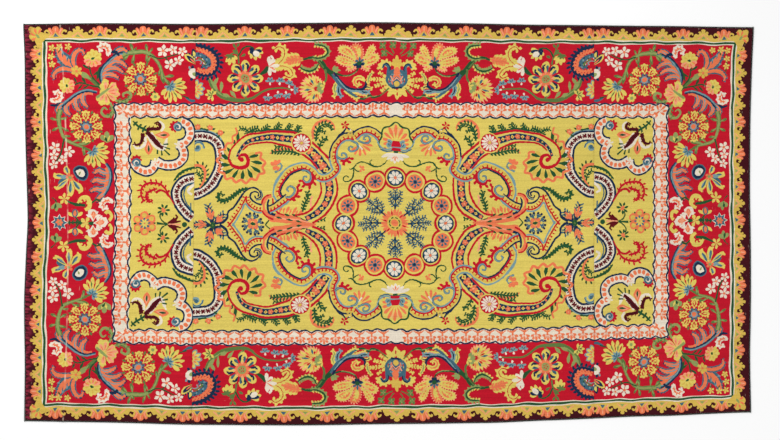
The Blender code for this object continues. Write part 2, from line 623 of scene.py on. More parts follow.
@dataclass
class OuterGuard(Motif):
    """The palmettes that point outwards from the striped lines to the plum edge.

    Attributes:
        base_v: Where they stand along the long sides.
        base_u: Where they stand along the ends.
        middle_pitch: Their spacing along the middle panel.
        long_pitch: Their spacing along the end panels' long sides.
        end_pitch: Their spacing along the ends.
    """

    base_v: float = 186.6
    base_u: float = 352.8
    middle_pitch: float = 21.2
    long_pitch: float = 21.2
    end_pitch: float = 17.07

    def draw(self) -> None:
        """Draws the palmettes of the long sides, of the ends and of the corners."""
        chart = self.chart
        chart.on(Zone.CENTRE, Mirror.QUARTERS)
        self.palmette(Spot(0, self.base_v), 1.3, 1.04, True)
        for k in range(9):
            self.palmette(Spot(26.2 + k * self.middle_pitch, self.base_v), 1.0, 1.0, k % 2 == 1)
        chart.on(Zone.ENDS, Mirror.QUARTERS)
        for k in range(8):
            self.palmette(Spot(337.4 - k * self.long_pitch, self.base_v), 1.0, 1.0, k % 2 == 1)
        for k in range(11):
            self.palmette(Spot(self.base_u, k * self.end_pitch, -90), 0.81, 1.1, k % 2 == 1)
        self.corner(Spot(self.base_u + 3.0, self.base_v + 2.0, -45))

    def palmette(self, spot: Spot, wide: float, tall: float, trefoil: bool) -> None:
        """Draws one palmette: a yellow trefoil, or three coral petals between two yellow hooks.

        Args:
            spot: The middle of its foot.
            wide: Its width, as a share of the long sides'.
            tall: Its height, as a share of the long sides'.
            trefoil: Which of the two it is.
        """
        chart = self.chart

        def at(points: Points) -> np.ndarray:
            """Stretches points and moves them to the chart."""
            return spot.at([(x * wide, y * tall) for x, y in points])

        if trefoil:
            side = [(10.9, -1), (10.9, 2.3), (9.9, 3.1), (9.5, 5.2), (8.2, 6.2), (6.6, 6.1), (5.7, 4.8),
                (4.9, 5.4)]
            side += [(4.3, 6.5), (5.2, 7.7), (4.7, 9.1), (3.2, 9.1), (2.1, 7.9), (1.7, 8.6), (2.3, 9.9),
                (1.8, 11.4)]
            chart.area(at(side + [(0, 12)] + [(-x, y) for x, y in reversed(side)]), GOLD)
            chart.line(at([(-5.8, 0.4), (-2.6, 2.8), (0, 5.6), (2.6, 2.8), (5.8, 0.4)]), 1.0, SALMON)
            chart.area(at([(-2.5, 0.7), (0, 3.6), (2.5, 0.7)]), LIME)
            return
        foot = [(10.9, -1), (10.9, 2.3), (8.6, 2.3), (6.6, 3.2), (5.9, 5.4), (2.6, 6.8)]
        chart.area(at(foot + [(-x, y) for x, y in reversed(foot)]), GOLD)
        for side in (-1, 1):
            hook = [(side * 5.2, 2.6), (side * 6.0, 5.2), (side * 7.2, 6.9), (side * 9.0, 7.2),
                (side * 10.1, 6.0), (side * 9.4, 5.0)]
            chart.line(at(curve(hook, 1.2)), (1.8, 2.3, 2.1, 1.5), GOLD)
            petal = [(side * 1.6, 2.6), (side * 2.9, 6.0), (side * 3.9, 9.0), (side * 5.2, 10.5),
                (side * 6.9, 10.1), (side * 7.2, 8.3)]
            petal += [(side * 6.2, 7.2), (side * 5.4, 4.4), (side * 4.6, 2.2)]
            chart.area(at(curve(petal, 1.6, closed=True)), CORAL)
            chart.line(at([(side * 3.2, 3.6), (side * 4.6, 6.6), (side * 5.8, 8.8)]), 0.9, SALMON)
            chart.line(at([(side * 6.4, 0.4), (side * 5.0, 2.0), (side * 3.6, 3.4)]), 1.1, SALMON)
        chart.area(at(curve([(-2.0, 3.4), (-3.0, 7.2), (-3.2, 9.8), (-1.6, 11.9), (1.6, 11.9),
            (3.2, 9.8), (3.0, 7.2), (2.0, 3.4)], 1.6, closed=True)), CORAL)
        chart.line(at([(0, 6.2), (0, 10.6)]), 1.2, SALMON)
        chart.line(at([(-3.8, 0.6), (-1.8, 3.2), (0, 5.6), (1.8, 3.2), (3.8, 0.6)]), 1.1, GOLD)
        chart.area(at([(-2.6, 0.7), (-0.8, 3.4), (0, 4.2), (0.8, 3.4), (2.6, 0.7)]), SLATE)

    def corner(self, spot: Spot) -> None:
        """Draws the cluster that turns the corner.

        Args:
            spot: The corner's place.
        """
        chart = self.chart
        chart.area(spot.at([(-10, -8), (-7.4, -3.4), (-5.4, 2), (5.4, 2), (7.4, -3.4), (10, -8)]), GOLD)
        for turn, length, wide in ((90, 13.0, 6.4), (38, 10.2, 6.6), (142, 10.2, 6.6)):
            chart.petal(spot.to(0, 0), spot.angle(turn), length, wide, GOLD, 0.9)
            for side in (-1, 1):
                chart.petal(polar(spot.to(0, 0), length * 0.55, spot.angle(turn)),
                    spot.angle(turn + side * 62), 4.6, 2.6, GOLD, 0.6)
        for turn in (66, 114, 18, 162):
            chart.petal(polar(spot.to(0, 0), 2.2, spot.angle(turn)), spot.angle(turn), 6.6, 2.6, CORAL,
                0.6)
        chart.oval(spot.to(0, 0.4), (1.5, 2.9), spot.angle(0), LIME, 8)


@dataclass
class InnerGuard(Motif):
    """The ivory band of coral palmettes between scalloped navy lines.

    Attributes:
        long_pitch: Their spacing along the long sides.
        end_pitch: Their spacing along the ends.
        line: The navy lines' width.
        scallop: How deep they are scalloped.
    """

    long_pitch: float = 11.85
    end_pitch: float = 12.9
    line: float = 1.6
    scallop: float = 2.3

    def draw(self) -> None:
        """Draws the band's long sides, ends and corners."""
        chart = self.chart
        chart.on(Zone.ALL, Mirror.TURNS)
        inner, outer = FIELD_V + 0.7, GUARD_V - 0.7
        tall = (outer - inner) / 12.8
        for k in (*range(-22, 0), *range(1, 23)):
            self.palmette(Spot(k * self.long_pitch, inner, 0), 1.0, tall, 0.92)
        self.scallops([(-GUARD_U, outer), (GUARD_U, outer)], self.long_pitch, True)
        self.scallops([(-FIELD_U, inner), (FIELD_U, inner)], self.long_pitch, False)
        chart.on(Zone.ENDS, Mirror.SIDES)
        inner, outer = FIELD_U + 0.7, GUARD_U - 0.7
        for k in range(-8, 8):
            self.palmette(Spot(inner, (k + 0.5) * self.end_pitch, -90), 1.05, (outer - inner) / 12.8)
        self.scallops([(outer, GUARD_V), (outer, -GUARD_V)], self.end_pitch, False)
        self.scallops([(inner, FIELD_V), (inner, -FIELD_V)], self.end_pitch, True)
        chart.on(Zone.ENDS, Mirror.QUARTERS)
        self.palmette(Spot(FIELD_U + 1.2, FIELD_V + 0.8, -45), 1.15, 1.25, 0.3)

    def palmette(self, spot: Spot, wide: float, tall: float, footing: float = 1.0) -> None:
        """Draws one coral palmette and its foot, which leave lobed ivory clouds beside it.

        Args:
            spot: The middle of its foot.
            wide: Its width, as a share of the long sides'.
            tall: Its height, as a share of the long sides'.
            footing: Its foot's spread, as a share of the ends'.
        """
        chart = self.chart

        def at(points: Points) -> np.ndarray:
            """Stretches points and moves them to the chart."""
            return spot.at([(x * wide, y * tall) for x, y in points])

        chart.line(at([(0, 1.6), (0, 6.6)]), (1.6, 2.0), CORAL)
        for angle, length in ((90, 6.4), (56, 6.0), (124, 6.0), (24, 4.8), (156, 4.8)):
            tip = polar((0, 5.6), length, angle)
            base = polar((0, 5.6), 1, angle)
            chart.petal(at([base])[0], math.degrees(math.atan2(*(at([tip]) - at([base]))[0][::-1])),
                length * tall, 2.6, CORAL, 0.7)
        for side in (-1, 1):
            foot = curve([(0, 3.4), (side * 2.2, 2.6), (side * 4.2 * footing, 1.4),
                (side * 5.9 * footing, 0.5)], 1.5)
            chart.line(at(foot), (1.6, 1.0, 0.9), CORAL)
            for place, length in ((1.3, 2.6), (3.0 * footing, 1.9)):
                chart.line(at([(side * place, 2.6), (side * (place + 1.1), 2.6 - length)]), (1.1, 0.7),
                    CORAL)
            chart.line(at([(side * 2.2, 9.2), (side * 1.2, 6.4)]), (0.5, 0.8), IVORY)

    def scallops(self, ends: Points, pitch: float, rounded: bool) -> None:
        """Draws a navy line that bulges outwards at each palmette, round or in a point.

        Args:
            ends: The line's two ends.
            pitch: The palmettes' spacing.
            rounded: If the bulges are round, or pointed.
        """
        chart = self.chart
        line = np.array(ends, dtype=float)
        count = round(math.dist(*ends) / 2.0)
        t = np.linspace(0, 1, count + 1)[:, None]
        path = line[0] + (line[1] - line[0]) * t
        phase = math.pi * (t[:, 0] - 0.5) * math.dist(*ends) / pitch
        wave = np.abs(np.cos(phase)) if rounded else 1 - np.abs(np.sin(phase))
        chart.line(path + normals(path) * ((wave - 0.5) * self.scallop)[:, None], self.line, NAVY)


@dataclass
class Medallion(Motif):
    """The star of fronds in the carpet's middle, inside its chain of roundels."""

    chain_u: float = 51.3
    chain_v: float = 45.5
    roundel: float = 10.4

    def draw(self) -> None:
        """Draws the chain, then the fronds, then the star."""
        chart = self.chart
        chart.on(Zone.CENTRE, Mirror.ONCE)
        middles = [
            (self.chain_u * math.cos(math.radians(a)), self.chain_v * math.sin(math.radians(a)))
            for a in np.arange(0, 360, 22.5)
        ]
        for middle in middles:
            chart.disc(middle, self.roundel + 1.1, CRIMSON, 20)
        for middle in middles:
            chart.disc(middle, self.roundel - 1.0, YELLOW, 20)
        for k, middle in enumerate(middles):
            if k % 2:
                chart.disc(middle, 7.6, CORAL, 16)
                chart.wreath(middle, 2.0, 5.9, 8, 2.0, SLATE, 0.8)
                chart.disc(middle, 2.3, SLATE, 10)
                chart.disc(middle, 1.5, NAVY, 8)
            else:
                chart.disc(middle, 8.2, NAVY, 16)
                chart.disc(middle, 6.9, SLATE, 16)
                chart.wreath(middle, 0.8, 6.7, 8, 3.3, IVORY, 0.9, 22.5)
                chart.disc(middle, 1.6, CORAL, 8)
        for angle, reach in ((0, 36), (180, 36), (90, 33), (270, 33)):
            self.branch(Spot(0, 0, angle), reach)
        for angle in (40, 140, 220, 320):
            self.branch(Spot(0, 0, angle), 37)
        chart.star((0, 0), (15.4, 8.0), 12, CORAL, 15)
        chart.wreath((0, 0), 8, 13.6, 12, 3.4, CORAL, 0.7, 0)
        chart.wreath((0, 0), 7, 12.0, 6, 1.5, CRIMSON, 0, 15)
        chart.disc((0, 0), 7.6, GOLD, 16)
        chart.ring((0, 0), 5.4, 1.1, GREEN)
        chart.wreath((0, 0), 4.6, 6.4, 8, 1.6, YELLOW, 0.6)
        chart.disc((0, 0), 3.6, CORAL, 10)

    def branch(self, spot: Spot, reach: float) -> None:
        """Draws one blue frond that branches twice.

        Args:
            spot: Its foot.
            reach: Its length.
        """
        chart = self.chart
        chart.line([spot.to(10, 0), spot.to(reach, 0)], (1.6, 1.2), NAVY)
        chart.leaflets(curve(spot.at([(reach - 10, 0), (reach - 5, 0), (reach, 0)])), 2.8,
            (3.8, 4.2, 3.2), 1.6, SLATE, 46)
        for x, length in ((16, 9.0), (22.5, 9.0)):
            for side in (-1, 1):
                twig = curve(spot.at([(x, 0), (x + length * 0.45, side * length * 0.42),
                    (x + length, side * length * 0.66)]))
                chart.line(twig, (1.4, 1.0), NAVY)
                chart.leaflets(twig, 2.8, (3.2, 3.8, 2.8), 1.6, SLATE, 50)


@dataclass
class ToothedBand:
    """A yellow ribbon between two lines, with a crimson comb along it.

    Attributes:
        half: Half its width.
        pitch: The comb's spacing.
    """

    half: float = 3.2
    pitch: float = 3.9

    def draw(self, chart: Chart, points: Points, left: Yarn, right: Yarn, size: float = 1.0) -> None:
        """Draws one stretch of the ribbon, its comb on its right and pointing left.

        Args:
            chart: The chart that it goes on.
            points: The points that its middle passes through.
            left: The yarn of the line on its left.
            right: The yarn of the line on its right.
            size: Its width, as a share of the usual.
        """
        middle = curve(points, 2.2)
        half = self.half * size
        chart.line(middle, 2 * half + 1.2, YELLOW)
        chart.line(beside(middle, 0.3 * half), half * 0.7, GOLD)
        comb = beside(middle, -half * 0.62)
        for point, angle, _ in stations(comb, self.pitch):
            chart.area(Spot(point[0], point[1], angle + 90).at([(0, -0.8), (2.9 * size, -0.6),
                (2.9 * size, 0.6), (0, 0.8)]), CRIMSON)
        chart.line(comb, 1.5, CRIMSON)
        chart.line(beside(middle, half + 0.4), 1.7, left)
        chart.line(beside(middle, -half - 0.4), 1.7, right)


@dataclass
class FieldScrolls(Motif):
    """The C-scrolls, ribbons, shells and volutes round the medallion."""

    ribbon: ToothedBand = field(default_factory=ToothedBand)

    def draw(self) -> None:
        """Draws one quarter of the scrollwork, and the pieces on the middle lines."""
        chart = self.chart
        chart.on(Zone.CENTRE, Mirror.QUARTERS)
        self.side_shell()
        self.scroll_leaves()
        self.lower_scroll()
        self.upper_scroll()
        self.ribbons()
        self.claws()
        self.tendrils()
        chart.on(Zone.CENTRE, Mirror.TURNS)
        self.top_shell()

    def side_shell(self) -> None:
        """Draws the shell behind the C-scroll's eye, with its scalloped coral rim."""
        chart = self.chart
        rim = [(142, 73.4), (136.5, 70.8), (132.2, 64.4), (131.4, 55.5), (136.4, 47.6), (148.3, 43.2),
            (161, 44.4)]
        rim += [(169, 48), (175.4, 55), (177, 65.7), (174, 74.6), (168, 80.4), (163.4, 85.6),
            (159.6, 94), (157.6, 99)]
        eye = (154, 63)
        edge = curve(rim, 3.0)
        for k, (point, _, along) in enumerate(stations(edge, 5.3)):
            angle = math.degrees(math.atan2(point[1] - eye[1], point[0] - eye[0]))
            start = polar(eye, math.dist(point, eye) * 0.4, angle - 10)
            turn = math.degrees(math.atan2(point[1] - start[1], point[0] - start[0]))
            wide = 4.0 if along < 0.75 else 3.2
            chart.petal(start, turn, math.dist(point, start) - 1.6, wide, GREEN if k % 2 else GOLD, 0.6)
        wave = [polar(point, 1.8 if k % 2 else -1.5, angle - 90) for k,
            (point, angle, _) in enumerate(stations(edge, 4.9))]
        chart.line(curve(wave, 1.4), (2.4, 2.6, 2.5, 2.2, 1.8), CORAL)

    def scroll_leaves(self) -> None:
        """Draws the leaves that grow from the C-scroll."""
        chart = self.chart
        for u, v, turn in ((143, 93.0, 128), (131, 93.6, 104), (118.5, 94.6, 96), (107, 93.6, 88),
            (97, 91.6, 74)):
            stem = curve([(u + 4, v - 1.4), polar((u, v), 3, turn), polar((u, v), 6.4, turn + 16)])
            chart.line(stem, (2.6, 2.2, 1.2), GREEN)
            chart.leaflets(stem, 2.4, (5.0, 4.4, 3.0), 1.9, GREEN, 56)
        chart.stroke([(152, 90), (138, 93.6), (123, 95), (108, 94), (96, 91)], (1.2, 1.8, 1.8, 1.2),
            GREEN)
        chart.frond([(147, 91.5), (151, 95), (156, 96)], (1.8, 1.2), GREEN, 3.6, 2.8)
        chart.stroke([(100, 72.4), (108, 75.4), (117, 75.2), (123, 73), (125.6, 70.6)], (2.6, 2.2, 1.2),
            CORAL)
        chart.frond([(94, 70), (104, 71.8), (114, 73.6), (124, 72.6)], (2.0, 1.4), GREEN,
            (3.4, 4.8, 5, 2.6), 3.4, 2.2)
        chart.frond([(104, 76.8), (112, 79), (121, 77.6)], (1.8, 1.2), GREEN, 3.4, 3.2)
        chart.stroke([(83, 85), (83.4, 93.6), (79.7, 100.1), (72.3, 103), (65.7, 102.2), (61.6, 97.7),
            (61.2, 93.4)], (2.6, 3.2, 3.2, 2.6, 1.0), CORAL)
        for points, reach in (
            ([(80.1, 83), (79.7, 90.3), (78.4, 95.4), (73.9, 98.5), (68.4, 99.8), (64.6, 97.6),
                (63.3, 94)], (3, 5.2, 5.4, 4.4, 2.6)),
            ([(78.6, 93), (75, 93.4), (71, 91.6)], (2.4, 2.6)),
            ([(76.6, 76), (75.4, 80.4), (73, 84.6), (69, 86)], (4.6, 4.8, 3)),
            ([(92.5, 12), (90.5, 20), (86.8, 27), (88, 32)], (3.6, 4.8, 3.6)),
        ):
            chart.frond(points, (1.9, 1.7, 1.2), GREEN, reach, 3.2, 2.1)
        chart.stroke([(84, 17), (84.5, 23), (83, 28)], (2.0, 1.4), SALMON)

    def beads(self, core: np.ndarray, pitch: float, size: Sequence[float]) -> None:
        """Sets coral blossoms and yellow lozenges by turns along a core.

        Args:
            core: The line that they lie on.
            pitch: Their spacing.
            size: Their size, as a share of the usual.
        """
        chart = self.chart
        for k, (point, angle, along) in enumerate(stations(core, pitch)):
            spot = Spot(point[0], point[1], angle, float(np.interp(along, np.linspace(0, 1, len(size)),
                size)))
            if k % 2:
                chart.area(spot.at([(-2.2, 0), (0, 2.2), (2.2, 0), (0, -2.2)]), YELLOW)
                chart.disc(spot.to(0, 0), 0.8 * spot.size, CRIMSON, 5)
            else:
                chart.wreath(spot.to(0, 0), 0, 2.9 * spot.size, 5, 2.2 * spot.size, CORAL, 0.7,
                    spot.turn)
                chart.disc(spot.to(0, 0), 0.7 * spot.size, SALMON, 6)

    def scroll_band(self, outer: Points, inner: Points, core: Points, width: Sequence[float]) -> None:
        """Draws one arm of a C-scroll: crimson outlines, yellow cheeks and a navy core with beads.

        Args:
            outer: The yarn of its outer line.
            inner: The yarn of its inner line.
            core: Its middle line.
            width: Its width along it.
        """
        chart = self.chart
        outside, inside = curve(outer), curve(inner)
        chart.area(np.vstack([outside, inside[::-1]]), YELLOW)
        heart = curve(core, 2.2)
        chart.line(heart, np.asarray(width) + 1.0, SLATE)
        chart.line(heart, width, NAVY)
        self.beads(heart, 5.2, np.interp(np.linspace(0, 1, 12), np.linspace(0, 1, len(width)),
            np.asarray(width) / 6.0))
        chart.line(outside, (1.8, 2.4, 2.4), CRIMSON)
        chart.line(inside, (1.6, 2.1, 2.1), CRIMSON)

    def lower_scroll(self) -> None:
        """Draws the lower arm, from the knot of ribbons to the coral spray."""
        outer = [(59, 46), (58, 36.5), (60, 25), (65, 15), (72.5, 7), (82, 1.6)]
        inner = [(75, 43), (74.5, 32.5), (77, 25), (83, 16), (90.5, 10.2), (99.5, 8)]
        core = [(66.3, 43), (66, 33), (69, 22), (76, 13.5), (84.5, 7.8), (89, 5.5)]
        self.scroll_band(outer, inner, core, (7.2, 7.2, 6.4, 5.6, 3.6))

    def upper_scroll(self) -> None:
        """Draws the upper arm, from its crimson eye over the daisy down to the knot of ribbons."""
        chart = self.chart
        outer = [(166.7, 66.3), (165, 75.3), (159.5, 82.5), (150.4, 88.2), (137.5, 91.4), (123.5, 93),
            (108, 92.2)]
        outer += [(96.5, 88.5), (85.3, 82.6), (76.4, 75), (68, 66.8), (64, 60)]
        inner = [(153, 74), (147.8, 78.8), (139, 81.2), (127.4, 82), (116, 80.4), (105.5, 76.6),
            (93, 69.5), (84, 62.6)]
        inner += [(77, 55)]
        core = [(158, 68), (155, 76), (149.5, 81.6), (142, 84.8), (135, 86.4), (123.5, 87.3),
            (112, 86.2), (101.5, 83.4)]
        core += [(94.2, 79.4), (86, 73.2), (79.5, 66.5), (73.8, 60), (67.6, 52.6)]
        self.scroll_band(outer, inner, core, (1.6, 2.2, 3.0, 4.4, 5.2, 5.6, 5.8, 5.8, 6.4, 8.4, 9.2,
            8.8, 7.4))
        eye = (153.6, 64.6)
        chart.stroke(
            [(153.2, 64.2), (156.2, 66.2), (153.6, 69.4), (149.2, 68.6), (146.8, 64.2), (148.6, 58.6),
                (155.2, 56.6)]
            + [(162.8, 59.4), (166.7, 66.3)],
            (2.4, 2.6, 3.4, 3.8, 3.8, 3.6, 3.0, 2.4),
            CRIMSON,
            1.6,
        )
        chart.disc(eye, 2.5, CRIMSON, 10)
        chart.disc((94.4, 80.9), 10.6, YELLOW, 20)
        chart.disc((94.4, 80.9), 9.4, CRIMSON, 20)
        chart.wreath((94.4, 80.9), 1.4, 8.4, 13, 2.4, IVORY, 0.7)
        chart.disc((94.4, 80.9), 1.6, GOLD, 8)

    def ribbons(self) -> None:
        """Draws the toothed ribbons and the forked ribbon beside the snowflake."""
        chart = self.chart
        self.ribbon.draw(chart, [(9, 75), (13.5, 82), (19.5, 89.6), (28, 93.2), (36, 91.6), (42, 86.4)],
            NAVY, SKY)
        self.ribbon.draw(chart, [(42, 86.4), (50.5, 86.2), (57, 82.2), (61.6, 75), (63, 66)], NAVY, SKY)
        self.ribbon.draw(chart, [(63, 67), (61.2, 60), (58.6, 54.6), (63, 48.8), (71, 46.4),
            (77.5, 48)], SKY, SKY)
        self.ribbon.draw(chart, [(77.5, 48), (84, 54), (91.4, 57.6), (99.5, 56), (107, 52.2), (113, 46),
            (117.2, 38.6), (118.2, 31), (114.5, 25), (107.5, 24)], SKY, NAVY)
        self.ribbon.draw(chart, [(107, 27), (114.5, 21.2), (121.5, 16.6), (125.5, 15.2)], NAVY, SKY)
        chart.area(curve([(132.4, 13.5), (142, 15.4), (149.6, 22.6), (154, 14), (160, 5), (165.6, -1.4),
            (173.6, -1.4), (166.8, 8), (166, 13.6), (159.4, 19), (152.8, 31), (149, 33), (145, 25.6),
            (139.4, 21), (132.6, 19.4)], 2.0, closed=True), YELLOW)
        for points, width, yarn, teeth in (
            ([(132.4, 13.7), (138, 13.8), (143.6, 16.8), (148.6, 22.4), (149.3, 28.6)], 1.5, CRIMSON,
                1),
            ([(149.3, 28.6), (151.6, 22), (154.4, 15), (158.6, 9), (162, 4), (166, -1)], 1.5, CRIMSON,
                1),
            ([(132.4, 12), (138.6, 11.8), (144.6, 15), (149.9, 20.6), (152.6, 13.6), (157, 6.6),
                (162.4, -1.4)], 1.6, SKY, 0),
            ([(133, 19.6), (138, 20.2), (142.6, 23), (145.4, 27), (144.6, 30.6), (140.4, 32),
                (136.8, 30), (137.6, 27)], 1.7, NAVY, 0),
            ([(174.9, 0.3), (170.3, 2.8), (167.4, 6.6), (166.4, 12.4), (161, 17), (158.3, 21.6),
                (155.4, 26.8), (151.9, 31.9), (147.4, 35.4), (142.2, 36.2), (137.6, 34.2), (134.6, 30),
                (135.6, 26.2), (139.4, 25.2), (141, 28.2)], (1.8, 2.0, 2.0, 1.7, 1.3), NAVY, 0),
        ):
            path = chart.stroke(points, width, yarn)
            for point, angle, _ in stations(path, 3.7) if teeth else ():
                chart.petal(point, angle + 90, 3.4, 1.6, yarn, 0.9)
        chart.stroke([(134.8, 33.6), (132.9, 29), (135, 24.6), (139.6, 23.6)], 1.2, SLATE)

    def claws(self) -> None:
        """Draws the small blue volutes, the crimson tufts on them and the shell that they close."""
        chart = self.chart
        for k in range(7):
            turn = 242 + 26 * (k - 3)
            chart.petal(polar((36, 80), 2, turn), turn, 11.4 - 0.5 * abs(k - 3), 2.7, CORAL, 0.7)
        chart.line([(37.6, 78.6), (33.2, 73.8)], 1.3, IVORY)
        for path, width in (
            ([(45, 83), (39.6, 80.6), (38.2, 76), (41, 73), (45.6, 72.4), (47.4, 75), (45.4, 77.2),
                (43, 76)], (2.0, 2.2, 2.0, 1.5)),
            ([(38, 83.4), (33, 81), (28.6, 80.4), (26, 83.4), (27.4, 87), (31, 87.4), (32.6, 84.8),
                (30.4, 83.4)], (2.0, 2.2, 2.0, 1.5)),
            ([(59.6, 67.6), (56.4, 64.8), (52, 64), (49.2, 66.6), (50.8, 69.8), (54.2, 69.4), (54, 67)],
                (2.0, 2.4, 2.0, 1.4)),
            ([(93, 53.6), (87.6, 52.8), (84.4, 49), (85, 43.6), (89, 41), (92.4, 43.8), (91, 47.2),
                (88, 46.6)], (2.0, 2.4, 2.2, 1.5)),
            ([(110, 27), (105, 27.6), (101, 31.4), (101.4, 36), (105.6, 38), (108.6, 35),
                (106.4, 32.6)], (2.0, 2.2, 2.0, 1.4)),
            ([(121, 52.6), (116.6, 54.4), (113, 57.6), (115, 61.4), (118, 60)], (1.8, 1.8, 1.4)),
        ):
            chart.stroke(path, width, SLATE, 1.4)
            chart.stroke(path, np.asarray(width) * 0.45, SKY, 1.4)
        for points, side in (
            ([(55.6, 62.6), (51.6, 62), (48.4, 64), (45.6, 66.4)], 1),
            ([(82.4, 50), (82.6, 43), (86, 39.4), (91, 39.4), (93.6, 44)], -1),
            ([(106, 24), (100, 27.6), (97.4, 33), (99, 38)], 1),
        ):
            path = chart.stroke(points, (2.4, 3.0, 2.8, 1.6), CRIMSON)
            chart.leaflets(path, 4.2, (4.8, 6.2, 5.0), 3.3, CRIMSON, 46 * side, (1,))
        chart.frond([(147.4, 36.5), (154.8, 34.2), (160.6, 30.2), (166.3, 25.8), (172, 23.6),
            (176.8, 25.6), (177.8, 29.4), (174.6, 31.6), (172, 29)], (1.6, 3.0, 2.8, 2.2, 1.4), GREEN,
            (1.8, 3.6, 4.2, 3.4, 2.4), 3.0, 2.2)
        chart.stroke([(122, 27.4), (121.6, 34), (121, 42), (116, 49.8), (108, 55.6)], (1.2, 1.2), SKY)
        for turn, length in ((20, 6.4), (70, 5.6), (120, 6.4), (250, 5.4), (310, 5.6)):
            chart.petal((118.4, 59.6), turn, length, 4.0, CORAL, 0.7)
        chart.stroke([(60.6, 84), (56.4, 88.4), (52, 91.4), (49.4, 95)], (1.2, 2.0, 1.6), NAVY)
        chart.stroke([(41, 92), (44.6, 93.4), (48.6, 95.4)], (1.8, 1.4), NAVY)
        chart.wreath((45.6, 91.2), 0.4, 3.8, 4, 2.2, GOLD, 0.3, 45)
        chart.disc((45, 93.4), 0.8, IVORY, 6)
        chart.wreath((50.4, 98), 0.2, 4.3, 5, 2.5, CRIMSON, 0.5, 20)

    def tendrils(self) -> None:
        """Draws the thin green tendrils round the chain of roundels."""
        chart = self.chart
        chart.stroke([(7.4, 63.6), (9.9, 59.9), (14.8, 57.2), (21.4, 57.6), (27.9, 60.3), (34.5, 61.3),
            (39.4, 59), (41.6, 55), (41.4, 49.4), (42.9, 44), (46.6, 42), (50.6, 42.6), (51.4, 45.6),
            (48.4, 47.8), (46, 45.8)], (1.0, 1.5, 1.2, 1.5, 1.1), GREEN)
        chart.stroke([(22, 58.4), (25, 59.6), (25.4, 62.4), (23.4, 64)], (1.4, 1.0), GREEN)
        chart.stroke([(39.6, 58.4), (43.6, 54.4), (46.4, 54.6)], (1.8, 1.0), GREEN)
        chart.stroke([(41, 54.6), (38.4, 52), (35.6, 51.8)], 1.0, GREEN)
        for turn in (60, 130, 200, 290):
            chart.petal((34, 54.4), turn, 3.6, 2.7, CORAL, 0.6)

    def top_shell(self) -> None:
        """Draws the shell over the medallion, on its bar with two volutes, and the lily under it."""
        chart = self.chart
        spot = Spot(0, 79)
        rim = [polar((0, 80), 19.5 + 1.4 * math.cos(math.radians(8 * a)),
            90 + a) for a in range(-104, 105, 6)]
        rim = [(u * 0.84, v) for u, v in rim]
        chart.area(rim, YELLOW)
        chart.line(rim, 1.7, GREEN)
        chart.fan(spot.to(0, 0), 90, 176, 9, (13, 14.4, 16, 18, 19.4, 18, 16, 14.4, 13), 3.1, CORAL,
            0.9, 5.0)
        chart.fan(spot.to(0, 0), 90, 22, 2, (17, 17), 1.2, SALMON, 0.5, 8.0)
        for side in (-1, 1):
            chart.volute((side * 7.4, 78.6), 4.2, 90 - side * 20, side * 1.15, 2.0, SKY)
            chart.volute((side * 7.4, 78.6), 2.8, 90 - side * 20, side * 0.8, 0.9, SLATE)
            chart.stroke([(side * 3, 74.4), (side * 9, 73.2), (side * 15, 76), (side * 19, 82)],
                (1.8, 1.4), SKY)
            chart.stroke([(side * 2, 72.4), (side * 9, 71.4), (side * 16, 74.4)], (1.6, 1.1), SLATE)
        chart.area([(-3.4, 82), (3.4, 82), (5.0, 77.8), (4.2, 73.2), (-4.2, 73.2), (-5.0, 77.8)],
            CRIMSON)
        chart.line([(-5, 75.6), (5, 75.6)], 1.3, SKY)
        chart.area([(-5, 73.6), (5, 73.6), (4.4, 72.2), (-4.4, 72.2)], CRIMSON)
        chart.area([(-2.4, 72.2), (2.4, 72.2), (2, 69.2), (-2, 69.2)], GREEN)
        lily = Spot(0, 70)
        chart.fan(lily.to(0, 0), -90, 150, 7, (14.5, 11, 9.5, 10.5, 9.5, 11, 14.5), 3.6, IVORY, 0.5)
        chart.fan(lily.to(0, -2), -90, 70, 3, (5.5, 7, 5.5), 1.2, SALMON)
        chart.petal(lily.to(0, -1), -90, 9.5, 3.2, IVORY, 0.5)
        chart.petal(lily.to(0, -2.5), -90, 5.6, 1.5, CORAL, 0.5)


